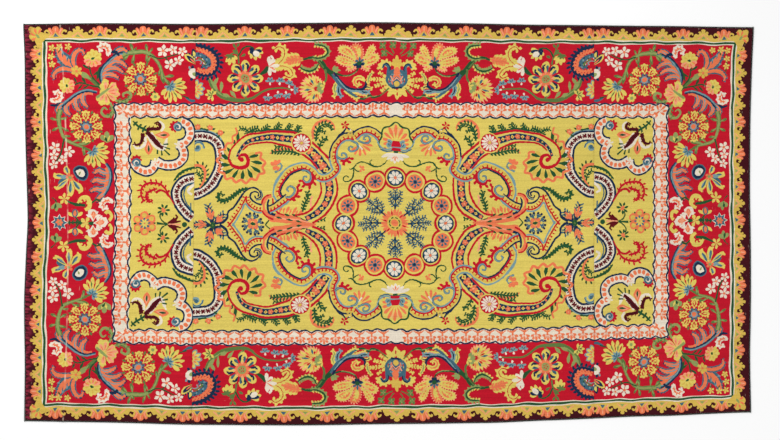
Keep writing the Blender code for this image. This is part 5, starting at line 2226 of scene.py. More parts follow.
@dataclass
class WovenPanel:
    """One panel of the carpet: its part of the chart, woven as one sheet with its sides and its lining.

    Attributes:
        name: The piece's name.
        node: The frame's panel that it stands for.
        zone: Which of the chart's motifs it carries.
        low: Its least u.
        high: Its greatest u.
        tolerance: How far a colour's outline may move when its spare corners go, in metres.
        spacing: The widest spacing of its corners.
        rounding: How far the pile is lower at its rim.
        side_squares: The spacing of the corners round its outline, in squares.
        bend: The least bend of the cloth that gets corners of its own.
        slope: How far inside the rim the pile reaches its full height.
        lining_spacing: The spacing of the lining's corners.
        lining_bend: The least bend that gets corners of its own in the lining.
    """

    name: str
    node: str
    zone: Zone
    low: float
    high: float
    tolerance: float = 0.0007
    spacing: float = 0.036
    rounding: float = 0.0014
    side_squares: float = 5.0
    bend: float = 0.00016
    slope: float = 0.005
    lining_spacing: float = 0.08
    lining_bend: float = 0.0003

    def outline(self) -> np.ndarray:
        """Gives the panel's outline on the chart, counter-clockwise."""
        across = np.linspace(self.low, self.high,
            math.ceil((self.high - self.low) / self.side_squares) + 1)
        upwards = np.linspace(-EDGE_V, EDGE_V, math.ceil(2 * EDGE_V / self.side_squares) + 1)
        sides = (
            [(u, -EDGE_V) for u in across[:-1]]
            + [(self.high, v) for v in upwards[:-1]]
            + [(u, EDGE_V) for u in across[:0:-1]]
            + [(self.low, v) for v in upwards[:0:-1]]
        )
        return np.array(sides)

    def coloured(self, chart: Chart) -> tuple[np.ndarray, np.ndarray, np.ndarray]:
        """Cuts the panel's part of the chart into triangles of one yarn each.

        Args:
            chart: The whole pattern.

        Returns:
            The corners on the chart, the triangles, and each triangle's yarn number.
        """
        corners: list[Vector] = []
        edges: list[tuple[int, int]] = []
        shapes: list[tuple[int, np.ndarray]] = []
        numbers = {yarn: number for number, yarn in enumerate(Yarn)}

        def add(shape: np.ndarray) -> None:
            """Adds a closed shape's corners and edges.

            Args:
                shape: Its corners' u and v, one row each.
            """
            start = len(corners)
            corners.extend(Vector((float(u), float(v))) for u, v in shape)
            edges.extend((start + k, start + (k + 1) % len(shape)) for k in range(len(shape)))

        add(self.outline())
        rim = [list(range(len(corners)))]
        for patch in chart.patches:
            if patch.zone not in (Zone.ALL, self.zone):
                continue
            for side_u, side_v in patch.mirror.value:
                shape = patch.corners * (side_u, side_v)
                if shape[:, 0].max() > self.low and shape[:, 0].min() < self.high:
                    add(shape)
                    shapes.append((numbers[patch.yarn], shape))
        found = delaunay_2d_cdt(corners, edges, rim, 0, 1e-4, True)
        triangles = np.array([face for face, kinds in zip(found[2], found[5]) if kinds])
        squares = np.array([c[:] for c in found[0]])
        return squares, triangles, self.painted(squares[triangles].mean(axis=1), shapes)

    @staticmethod
    def painted(places: np.ndarray, shapes: list[tuple[int, np.ndarray]]) -> np.ndarray:
        """Finds which shape lies uppermost over each place.

        Args:
            places: The places, one row each.
            shapes: Each shape's yarn number and corners, from the lowest to the uppermost.

        Returns:
            The yarn number at each place.
        """
        order = np.argsort(places[:, 0])
        u, v = places[order, 0], places[order, 1]
        colours = np.zeros(len(places), dtype=int)
        for number, shape in shapes:
            low, high = shape.min(axis=0), shape.max(axis=0)
            first, last = np.searchsorted(u, (low[0], high[0]))
            near = first + np.flatnonzero((v[first:last] > low[1]) & (v[first:last] < high[1]))
            if not len(near):
                continue
            after = np.roll(shape, -1, axis=0)
            for start in range(0, len(near), PLACES_AT_ONCE):
                some = near[start:start + PLACES_AT_ONCE]
                pu, pv = u[some, None], v[some, None]
                rising = (shape[:, 1] <= pv) & (after[:, 1] > pv)
                falling = (shape[:, 1] > pv) & (after[:, 1] <= pv)
                left = (after[:, 0] - shape[:, 0]) * (pv - shape[:, 1]) - (pu - shape[:, 0]) * (after[:,
                    1] - shape[:, 1])
                turns = (rising & (left > 0)).sum(axis=1) - (falling & (left < 0)).sum(axis=1)
                colours[some[turns != 0]] = number
        found = np.empty_like(colours)
        found[order] = colours
        return found

    def colour_edges(
        self, corners: np.ndarray, triangles: np.ndarray, yarns: np.ndarray
    ) -> tuple[list[int], list[tuple[int, int]], list[int]]:
        """Finds the outlines between the yarns and drops their spare corners.

        Args:
            corners: The corners in metres.
            triangles: The triangles of one yarn each.
            yarns: Their yarn numbers.

        Returns:
            The kept corners' numbers, the edges between them, and the corners round the panel's rim.
        """
        sides = np.vstack([triangles[:, (0, 1)], triangles[:, (1, 2)], triangles[:, (2, 0)]])
        owners = np.tile(yarns, 3)
        ways = np.sort(sides, axis=1)
        order = np.lexsort((ways[:, 1], ways[:, 0]))
        sides, ways, owners = sides[order], ways[order], owners[order]
        same = np.all(ways[1:] == ways[:-1], axis=1)
        paired = np.append(same, False) | np.append(False, same)
        between = np.flatnonzero(same & (owners[1:] != owners[:-1]))
        edges = np.vstack([ways[between], ways[~paired]])
        onward = {b: a for a, b in sides[~paired].tolist()}
        ring = [min(onward)]
        while onward[ring[-1]] != ring[0] and len(ring) < len(onward):
            ring.append(onward[ring[-1]])
        at_rim = set(ring)
        neighbours: dict[int, list[int]] = {}
        for a, b in edges.tolist():
            neighbours.setdefault(a, []).append(b)
            neighbours.setdefault(b, []).append(a)
        joints = {c for c, near in neighbours.items() if len(near) != 2 or c in at_rim}
        kept: set[int] = set(joints)
        lines: list[tuple[int, int]] = []
        walked: set[tuple[int, int]] = set()
        for start in sorted(joints) + sorted(set(neighbours) - joints):
            for after in neighbours[start]:
                if (start, after) in walked:
                    continue
                chain = [start, after]
                walked |= {(start, after), (after, start)}
                while chain[-1] not in joints and chain[-1] != start:
                    onward = [c for c in neighbours[chain[-1]] if c != chain[-2]]
                    walked |= {(chain[-1], onward[0]), (onward[0], chain[-1])}
                    chain.append(onward[0])
                whole = simplified(corners[chain], self.tolerance)
                if chain[-1] == start and len(whole) < 4:
                    whole = sorted({0, len(chain) // 3, 2 * len(chain) // 3, len(chain) - 1})
                picked = [chain[k] for k in whole]
                kept.update(picked)
                lines += list(zip(picked, picked[1:]))
        return sorted(kept), lines, ring

    def build(self, chart: Chart, cloth: ClothShape, finish: bpy.types.Material) -> bpy.types.Object:
        """Weaves the panel.

        Args:
            chart: The whole pattern.
            cloth: The lie of the cloth.
            finish: Its material.

        Returns:
            The panel's object, a closed sheet.
        """
        squares, triangles, yarns = self.coloured(chart)
        places = cloth.laid(squares + self.unevenness(squares))
        kept, lines, ring = self.colour_edges(places, triangles, yarns)
        renamed = {old: new for new, old in enumerate(kept)}
        flat = height_tree(np.column_stack([places, np.zeros(len(places))]), triangles.tolist())
        rim = cloth.laid(self.outline())
        points = [places[k] for k in kept] + list(self.spare_corners(cloth, rim))
        edges = [(renamed[a], renamed[b]) for a, b in lines]
        face = [renamed[corner] for corner in ring]
        found = delaunay_2d_cdt([Vector((float(x), float(y))) for x, y in points], edges, [face], 0,
            1e-6, True)
        corners = np.array([c[:] for c in found[0]])
        top = [triangle for triangle, kinds in zip(found[2], found[5]) if kinds]
        owners = []
        for triangle in top:
            x, y = corners[list(triangle)].mean(axis=0)
            hit = flat.ray_cast((float(x), float(y), 1.0), (0, 0, -1))[2]
            owners.append(int(yarns[flat.find_nearest((float(x), float(y),
                0.0))[2] if hit is None else hit]))
        return self.stitched(corners, top, owners, cloth, finish)

    def unevenness(self, squares: np.ndarray) -> np.ndarray:
        """Gives how far the weaver's hand strayed, in squares, fading out at the panel's sides.

        Args:
            squares: Points of the chart, one row each.

        Returns:
            How far each one moves in u and in v.
        """
        u, v = squares[:, 0], squares[:, 1]
        rim = np.minimum.reduce([u - self.low, self.high - u, v + EDGE_V, EDGE_V - v])
        share = np.clip(rim / 8, 0, 1)
        along = 0.42 * np.sin(u / 7.3 + 1.3 * np.sin(v / 31)) + 0.34 * np.sin(u / 3.9 + v / 17 + 2)
        across = 0.40 * np.sin(v / 8.1 + 1.1 * np.sin(u / 27) + 1) + 0.30 * np.sin(v / 4.3 - u / 19)
        along = along + 0.17 * np.sin(u * 1.9 + v * 0.7) + 0.14 * np.sin(u * 1.1 - v * 2.3)
        across = across + 0.17 * np.sin(v * 1.8 - u * 0.9) + 0.14 * np.sin(v * 1.2 + u * 2.1)
        drift = (-2.2 * (v / 180) ** 2 - 0.6 * v / 180) * np.clip(1 - (u / SEAM_U) ** 2, 0, 1)
        beyond = np.interp(np.abs(u), (SEAM_U, 281, 310, 336, 350, EDGE_U),
            (0, 1.2, 1.9, 2.8, 3.0, 0)) * np.sign(u)
        above = np.interp(np.abs(v), (0, 150, 184, 190, EDGE_V), (0, 0.2, 0.9, 0.9, 0)) * np.sign(v)
        return np.column_stack([across * share + drift + beyond, along * share + above])

    def spare_corners(self, cloth: ClothShape, rim: np.ndarray) -> np.ndarray:
        """Gives the corners that carry no colour's outline: an even grid, the creases and the rim's slope.

        Args:
            cloth: The cloth's shape.
            rim: The panel's rim, in order.

        Returns:
            The corners' places, one row each.
        """
        middle = rim.mean(axis=0)
        low, high = rim.min(axis=0), rim.max(axis=0)
        columns = np.arange(low[0], high[0], self.spacing)
        grid = np.array([(x, y) for x in columns for y in np.arange(low[1], high[1], self.spacing)])
        bends = cloth.creased(self.bend)
        following = np.roll(rim, -1, axis=0)
        along = (following - rim) / np.linalg.norm(following - rim, axis=1)[:, None]
        inward = np.column_stack([-along[:, 1], along[:, 0]])
        if ((middle - rim) * inward).sum() < 0:
            inward = -inward
        quarters = (0.25, 0.5, 0.75)
        slope = np.vstack([rim + (following - rim) * share + inward * self.slope for share in quarters])
        loose = np.vstack([grid, bends])
        near = KDTree(len(slope))
        for k, (x, y) in enumerate(slope):
            near.insert((x, y, 0), k)
        near.balance()
        inside = []
        tree = height_tree(np.column_stack([rim, np.zeros(len(rim))]), [list(range(len(rim)))])
        for x, y in loose:
            if tree.ray_cast((float(x), float(y), 1.0),
                (0, 0, -1))[0] is not None and near.find((x, y, 0))[2] > 0.008:
                inside.append((x, y))
        return np.vstack([np.array(inside), slope])

    def stitched(
        self, corners: np.ndarray, top: list, owners: list[int],
        cloth: ClothShape, finish: bpy.types.Material
    ) -> bpy.types.Object:
        """Closes the woven face with its sides and its lining.

        Args:
            corners: The face's corners in metres.
            top: Its triangles.
            owners: Each triangle's yarn number.
            cloth: The lie of the cloth.
            finish: The material.

        Returns:
            The closed sheet.
        """
        used = sorted({corner for face in top for corner in face})
        renamed = {old: new for new, old in enumerate(used)}
        corners = corners[used]
        top = [tuple(renamed[c] for c in face) for face in top]
        onward = {}
        for face, owner in zip(top, owners):
            for a, b in zip(face, face[1:] + face[:1]):
                onward[(a, b)] = owner
        rim = {a: (b, owner) for (a, b), owner in onward.items() if (b, a) not in onward}
        ring = [min(rim)]
        while rim[ring[-1]][0] != ring[0] and len(ring) < len(rim):
            ring.append(rim[ring[-1]][0])
        lift = cloth.lift(corners[:, 0], corners[:, 1])
        heights = lift + cloth.thickness
        heights[ring] -= self.rounding
        under = corners[ring]
        low, high = under.min(axis=0), under.max(axis=0)
        columns = np.arange(low[0] + 0.05, high[0] - 0.04, self.lining_spacing)
        rows = np.arange(low[1] + 0.07, high[1] - 0.06, self.lining_spacing)
        sparse = [(x, y) for x in columns for y in rows]
        bends = cloth.creased(self.lining_bend)
        bends = bends[(bends > low + 0.02).all(axis=1) & (bends < high - 0.02).all(axis=1)]
        points = [Vector((float(x), float(y))) for x, y in np.vstack([under, np.array(sparse), bends])]
        lining = delaunay_2d_cdt(points, [], [list(range(len(ring)))], 0, 1e-6, True)
        feet = {given: len(corners) + made for made, these in enumerate(lining[3]) for given in these}
        below = np.array([c[:] for c in lining[0]])
        tops = np.column_stack([corners, heights])
        belows = np.column_stack([below, cloth.lift(below[:, 0], below[:, 1])])
        faces = list(top)
        colours = [tuple(Yarn)[owner].value for owner in owners]
        pile = len(faces)
        for k, corner in enumerate(ring):
            after = ring[(k + 1) % len(ring)]
            foot, next_foot = feet[k], feet[(k + 1) % len(ring)]
            colour = tuple(Yarn)[rim[corner][1]].value
            faces += [(corner, foot, next_foot), (corner, next_foot, after)]
            colours += [colour, colour]
        sides = len(faces)
        for face, kinds in zip(lining[2], lining[5]):
            if kinds:
                faces.append(tuple(len(corners) + c for c in reversed(face)))
                colours.append(LINEN)
        mesh = bpy.data.meshes.new(self.name)
        mesh.from_pydata(np.vstack([tops, belows]).tolist(), [], faces)
        mesh.materials.append(finish)
        mesh.polygons.foreach_set("use_smooth", [k < pile for k in range(len(faces))])
        self.dyed(mesh, colours, pile, sides)
        panel = bpy.data.objects.new(self.name, mesh)
        bpy.context.scene.collection.objects.link(panel)
        log.info("%s: %d corners, %d faces", self.name, len(mesh.vertices), len(mesh.polygons))
        return panel

    def dyed(self, mesh: bpy.types.Mesh, colours: list[tuple], pile: int, sides: int) -> None:
        """Writes each face's yarn colour, and the map that its baked colours use.

        Args:
            mesh: The panel's mesh, all of triangles.
            colours: Each face's colour of 255.
            pile: How many faces, the first ones, are the woven face.
            sides: How many are the woven face and the sides.
        """
        shares = np.array(colours) / 255.0
        rows = np.ones((len(colours), 4))
        rows[:, :3] = np.where(shares <= 0.04045, shares / 12.92, ((shares + 0.055) / 1.055) ** 2.4)
        rows[sides:, 3] = 0.0
        yarn = mesh.color_attributes.new("yarn", "FLOAT_COLOR", "CORNER")
        yarn.data.foreach_set("color", np.repeat(rows, 3, axis=0).astype(np.float32).ravel())
        corner_of = np.zeros(len(mesh.loops), dtype=np.int32)
        mesh.loops.foreach_get("vertex_index", corner_of)
        co = np.zeros(len(mesh.vertices) * 3, dtype=np.float32)
        mesh.vertices.foreach_get("co", co)
        co = co.reshape(-1, 3)
        low, high = co[:, :2].min(axis=0), co[:, :2].max(axis=0)
        spread_out = (co[corner_of, :2] - low) / (high - low)
        where = np.empty_like(spread_out)
        where[:, 0] = 0.005 + 0.99 * spread_out[:, 0]
        for first, (start, tall) in ((0, PILE_BAND), (3 * pile, SIDE_BAND), (3 * sides, LINING_BAND)):
            where[first:, 1] = start + tall * spread_out[first:, 1]
        mesh.uv_layers.new(name="OFBake").data.foreach_set("uv", where.astype(np.float32).ravel())


@dataclass
class Signal:
    """A socket of a node tree that takes part in Python expressions on numbers."""

    wiring: Wiring
    socket: bpy.types.NodeSocket

    def joined(self, operation: str, first: Signal | float, second: Signal | float) -> Signal:
        """Adds one Math node."""
        return self.wiring.node("ShaderNodeMath", {"operation": operation}, {0: first, 1: second})

    def __add__(self, other: Signal | float) -> Signal:
        """Adds."""
        return self.joined("ADD", self, other)

    def __sub__(self, other: Signal | float) -> Signal:
        """Takes away."""
        return self.joined("SUBTRACT", self, other)

    def __rsub__(self, other: float) -> Signal:
        """Takes this away from a number."""
        return self.joined("SUBTRACT", other, self)

    def __mul__(self, other: Signal | float) -> Signal:
        """Multiplies."""
        return self.joined("MULTIPLY", self, other)

    def __abs__(self) -> Signal:
        """Leaves out the sign."""
        return self.wiring.node("ShaderNodeMath", {"operation": "ABSOLUTE"}, {0: self})

    def larger(self, other: Signal | float) -> Signal:
        """Keeps the larger of the two."""
        return self.joined("MAXIMUM", self, other)

    def wave(self) -> Signal:
        """Gives its sine."""
        return self.wiring.node("ShaderNodeMath", {"operation": "SINE"}, {0: self})

    __radd__ = __add__
    __rmul__ = __mul__


@dataclass
class Wiring:
    """Adds nodes to one tree.

    Attributes:
        tree: The material's or the modifier's tree.
    """

    tree: bpy.types.NodeTree

    def node(
        self, kind: str, settings: dict | None = None, inputs: dict | None = None, output: int | str = 0
    ) -> Signal:
        """Adds one node.

        Args:
            kind: Its type.
            settings: Its properties, which are set first; "stops" are a ramp's places and colours.
            inputs: Values or links for its sockets, by name or number.
            output: Which of its outputs is given back.

        Returns:
            That output.
        """
        made = self.tree.nodes.new(kind)
        for name, value in (settings or {}).items():
            if name == "stops":
                ramp = made.color_ramp.elements
                while len(ramp) < len(value):
                    ramp.new(0.5)
                for stop, (place, colour) in zip(ramp, value):
                    stop.position, stop.color = place, (*colour, 1)
            else:
                setattr(made, name, value)
        for name, value in (inputs or {}).items():
            if isinstance(value, Signal):
                self.tree.links.new(value.socket, made.inputs[name])
            else:
                made.inputs[name].default_value = value
        return Signal(self, made.outputs[output])

    def mixed(
        self, share: Signal | float, first: Signal | tuple, second: Signal | tuple, blend: str = "MIX"
    ) -> Signal:
        """Mixes two colours."""
        settings = {"data_type": "RGBA", "blend_type": blend}
        return self.node("ShaderNodeMix", settings, {0: share, 6: first, 7: second}, 2)

    def eased(
        self, value: Signal, start: float, end: float, low: float = 0.0, high: float = 1.0
    ) -> Signal:
        """Eases from one number to another as a value goes from start to end."""
        inputs = {"Value": value, 1: start, 2: end, 3: low, 4: high}
        return self.node("ShaderNodeMapRange", {"interpolation_type": "SMOOTHSTEP"}, inputs)

    def noise(self, place: Signal, stretch: tuple, scale: float, detail: float = 2.0) -> Signal:
        """Gives a noise, drawn out by a stretch along each axis.

        Args:
            place: Where it is read.
            stretch: What the place is multiplied by along each axis.
            scale: How fine it is.
            detail: How many finer layers it has.

        Returns:
            The noise, from 0 to 1.
        """
        stretched = self.node("ShaderNodeVectorMath", {"operation": "MULTIPLY"}, {0: place, 1: stretch})
        return self.node("ShaderNodeTexNoise", None, {"Vector": stretched, "Scale": scale,
            "Detail": detail}, "Fac")

    def grey(self, value: Signal, spread_out: float) -> Signal:
        """Turns a noise from 0 to 1 into a factor about 1."""
        return value * (2 * spread_out) + (1 - spread_out)


def linear(colour: Sequence[float]) -> tuple[float, ...]:
    """Takes a colour of 255 to the light it stands for, with alpha."""
    shares = [c / 255 for c in colour]
    return tuple(s / 12.92 if s <= 0.04045 else ((s + 0.055) / 1.055) ** 2.4 for s in shares) + (1.0,)


def new_material(name: str) -> tuple[bpy.types.Material, Wiring, bpy.types.ShaderNodeBsdfPrincipled]:
    """Starts a material with one shader.

    Args:
        name: Its name.

    Returns:
        The material, its wiring, and the shader.
    """
    material = bpy.data.materials.new(name)
    material.use_nodes = True
    return material, Wiring(material.node_tree), material.node_tree.nodes["Principled BSDF"]


@dataclass
class Pile:
    """What the wool's colour and relief are mixed from: the place, its yarn, and noises of several sizes.

    Attributes:
        w: The material's wiring.
    """

    w: Wiring

    def __post_init__(self) -> None:
        """Adds the nodes."""
        w = self.w
        self.place = w.node("ShaderNodeTexCoord", output="Object")
        self.x = w.node("ShaderNodeSeparateXYZ", None, {0: self.place})
        self.y = Signal(w, self.x.socket.node.outputs["Y"])
        attribute = {"attribute_type": "GEOMETRY", "attribute_name": "yarn"}
        self.yarn = w.node("ShaderNodeAttribute", attribute, output="Color")
        self.knotted = Signal(w, self.yarn.socket.node.outputs["Alpha"])
        self.bands = self.noise((0.5, 16.0), 1.9, 3.0)
        self.streaks = self.noise((1.0, 46.0), 2.3)
        self.cloud = self.noise((1.0, 1.0), 1.3)
        self.fibre = self.noise((1.0, 1.4), 320.0)
        self.tufts = self.noise((1.0, 1.0), 110.0, 1.0)
        self.patchy = self.noise((3.0, 5.0), 2.2, 3.0)

    def noise(self, stretch: tuple[float, float], scale: float, detail: float = 2.0) -> Signal:
        """Adds a noise, drawn out along x and y."""
        return self.w.noise(self.place, (*stretch, 1.0), scale, detail)


@dataclass(frozen=True)
class WoolFinish:
    """Short, worn knotted pile in many dyed yarns, with painted shade along the field's fold lines and a
    plain linen lining under it.

    Attributes:
        row: The spacing of the rows of knots, in metres.
        knot: The width of a knot.
        relief_height: How high the pile's relief is.
        ridge: The long ridge's x at the front, at the back and how far it bows, in metres.
        ridge_width: How far beside the ridge's line the rubbed streak is full, and where it ends.
        folds: The places of the old fold lines across the field, where shade is painted into the colour.
        fold_width: How far beside a fold's line it is darkest, and where it ends.
        fold_waver: How far the fold lines waver.
        fold_shade_depth: How much darker they are.
        fold_reach: How far from the middle they begin to fade, and where they end.
        dash_reach: How far from the middle the bare dashes begin, and where they are full.
        rim: The x up to which the left rim is faded, and where the fading ends.
        worn: The colour of the worn knots, of 255.
        faded: The colour that the plum has faded to along the left rim.
        roughness: The pile's roughness.
        half_width: Half of the carpet's width.
        middle: The x of the pattern's middle.
    """

    row: float = 0.0034
    knot: float = 0.0032
    relief_height: float = 0.0011
    ridge: tuple[float, float, float] = (-2.344, -2.365, 0.047)
    ridge_width: tuple[float, float] = (0.001, 0.008)
    folds: tuple[float, ...] = (0.491, 0.365, 0.008, -0.222, -0.484)
    fold_width: tuple[float, float] = (0.001, 0.006)
    fold_waver: float = 0.012
    fold_shade_depth: float = 0.13
    fold_reach: tuple[float, float] = (1.80, 1.95)
    dash_reach: tuple[float, float] = (1.9, 2.5)
    rim: tuple[float, float] = (-2.60, -2.55)
    worn: tuple[float, float, float] = (238, 214, 190)
    faded: tuple[float, float, float] = (146, 40, 62)
    roughness: float = 0.93
    half_width: float = 1.4525
    middle: float = 0.047

    def make(self) -> bpy.types.Material:
        """Makes the material."""
        material, w, shader = new_material("carpet_wool")
        pile = Pile(w)
        shade = self.shade(pile)
        level = w.node("ShaderNodeCombineColor", None, {0: shade, 1: shade, 2: shade})
        bare = self.bare(pile)
        colour = w.mixed(1.0, pile.yarn, level, "MULTIPLY")
        colour = w.mixed(self.rim_fading(pile) * pile.knotted, colour, linear(self.faded))
        colour = w.mixed(bare * pile.knotted, colour, linear(self.worn))
        relief = {"Strength": 0.55, "Distance": self.relief_height, "Height": self.relief(pile, bare)}
        bump = w.node("ShaderNodeBump", None, relief, "Normal")
        w.tree.links.new(colour.socket, shader.inputs["Base Color"])
        w.tree.links.new(bump.socket, shader.inputs["Normal"])
        shader.inputs["Roughness"].default_value = self.roughness
        shader.inputs["Specular IOR Level"].default_value = 0.10
        shader.inputs["Sheen Weight"].default_value = 0.06
        shader.inputs["Sheen Roughness"].default_value = 0.55
        return material

    def shade(self, pile: Pile) -> Signal:
        """Gives the unevenness of the dye, and painted shade along the field's fold lines.

        Args:
            pile: The place's values.

        Returns:
            A factor about 1.
        """
        w = pile.w
        shade = w.grey(pile.bands, 0.20) * w.grey(pile.streaks, 0.16) * w.grey(pile.cloud, 0.10)
        shade = shade * w.grey(pile.fibre, 0.22) * w.grey(pile.tufts, 0.16)
        # Painted shade: each fold line is darkened in the colour, as if shaded in a shallow crease.
        dark = 0.0
        for fold in self.folds:
            away = abs(pile.y - fold + (pile.cloud - 0.5) * self.fold_waver)
            dark = w.eased(away, *self.fold_width, 1.0, 0.0) + dark
        inside = w.eased(abs(pile.x - self.middle), *self.fold_reach, 1.0, 0.0)
        return shade * (1 - dark * inside * w.eased(pile.streaks, 0.35, 0.6) * self.fold_shade_depth)

    def bare(self, pile: Pile) -> Signal:
        """Gives the share of bare knots: a streak along the ridge, dashes at the ends, and specks.

        Args:
            pile: The place's values.

        Returns:
            The share, from 0 to 1.
        """
        w = pile.w
        share = (pile.y + self.half_width) * (1 / (2 * self.half_width))
        front, back, bow = self.ridge
        line = front + (back - front) * share + (4 * bow) * share * (1 - share)
        patches = w.eased(pile.patchy, 0.42, 0.66, 0.05, 0.7)
        rubbed = w.eased(abs(pile.x - line), *self.ridge_width, 1.0, 0.0) * patches
        ends = w.eased(abs(pile.x), *self.dash_reach)
        dashes = w.eased(pile.noise((60.0, 9.0), 1.6, 1.0), 0.70, 0.80) * ends * 0.5
        specks = w.eased(pile.noise((14.0, 60.0), 2.1, 1.0), 0.74, 0.84) * 0.28
        return rubbed.larger(dashes).larger(specks)

    def rim_fading(self, pile: Pile) -> Signal:
        """Gives how far the plum has faded along the left rim.

        Args:
            pile: The place's values.

        Returns:
            The share, from 0 to 1.
        """
        w = pile.w
        uneven = w.eased(pile.noise((12.0, 34.0), 1.7), 0.40, 0.60)
        return w.eased(pile.x, *self.rim, 1.0, 0.0) * uneven * 0.85

    def relief(self, pile: Pile, bare: Signal) -> Signal:
        """Gives the height of the rows of knots, of the wool's tufts and of the bare places.

        Args:
            pile: The place's values.
            bare: The share of bare knots.

        Returns:
            The height, about 0.
        """
        rows = (pile.y * (2 * math.pi / self.row) + pile.cloud * 9.0).wave()
        knots = (pile.x * (2 * math.pi / self.knot) + pile.bands * 5.0).wave()
        woven = rows * 0.30 + knots * 0.14 + pile.fibre * 0.7 + pile.tufts * 0.8
        return woven + pile.patchy * 0.5 - bare * 0.5


@dataclass(frozen=True)
class YarnFinish:
    """Twisted wool yarn, matt, uneven in its dye.

    Attributes:
        name: The material's name.
        light: Its lighter colour of 255.
        dark: Its darker colour.
    """

    name: str
    light: tuple[float, float, float]
    dark: tuple[float, float, float]

    def make(self) -> bpy.types.Material:
        """Makes the material."""
        material, w, shader = new_material(self.name)
        place = w.node("ShaderNodeTexCoord", output="Object")
        patches = w.noise(place, (1.0, 1.0, 1.0), 7.0, 2.0)
        fibre = w.noise(place, (1.0, 1.0, 1.0), 900.0, 2.0)
        share = w.eased(patches * 0.65 + fibre * 0.35, 0.3, 0.7)
        colour = w.mixed(share, linear(self.dark), linear(self.light))
        bump = w.node("ShaderNodeBump", None, {"Strength": 0.5, "Distance": 0.0004, "Height": fibre},
            "Normal")
        w.tree.links.new(colour.socket, shader.inputs["Base Color"])
        w.tree.links.new(bump.socket, shader.inputs["Normal"])
        shader.inputs["Roughness"].default_value = 0.9
        shader.inputs["Specular IOR Level"].default_value = 0.2
        shader.inputs["Sheen Weight"].default_value = 0.1
        return material


@dataclass(frozen=True)
class FloorFinish:
    """A plain pale floor."""

    colour: tuple[float, float, float, float] = (0.97, 0.97, 0.97, 1.0)

    def make(self) -> bpy.types.Material:
        """Makes the material."""
        material, w, shader = new_material("pale_floor")
        place = w.node("ShaderNodeTexCoord", output="Object")
        cloud = w.noise(place, (1.0, 1.0, 1.0), 0.6, 1.0)
        colour = w.mixed(cloud * 0.04, self.colour, (0.94, 0.94, 0.94, 1.0))
        w.tree.links.new(colour.socket, shader.inputs["Base Color"])
        shader.inputs["Roughness"].default_value = 0.9
        shader.inputs["Specular IOR Level"].default_value = 0.0
        return material


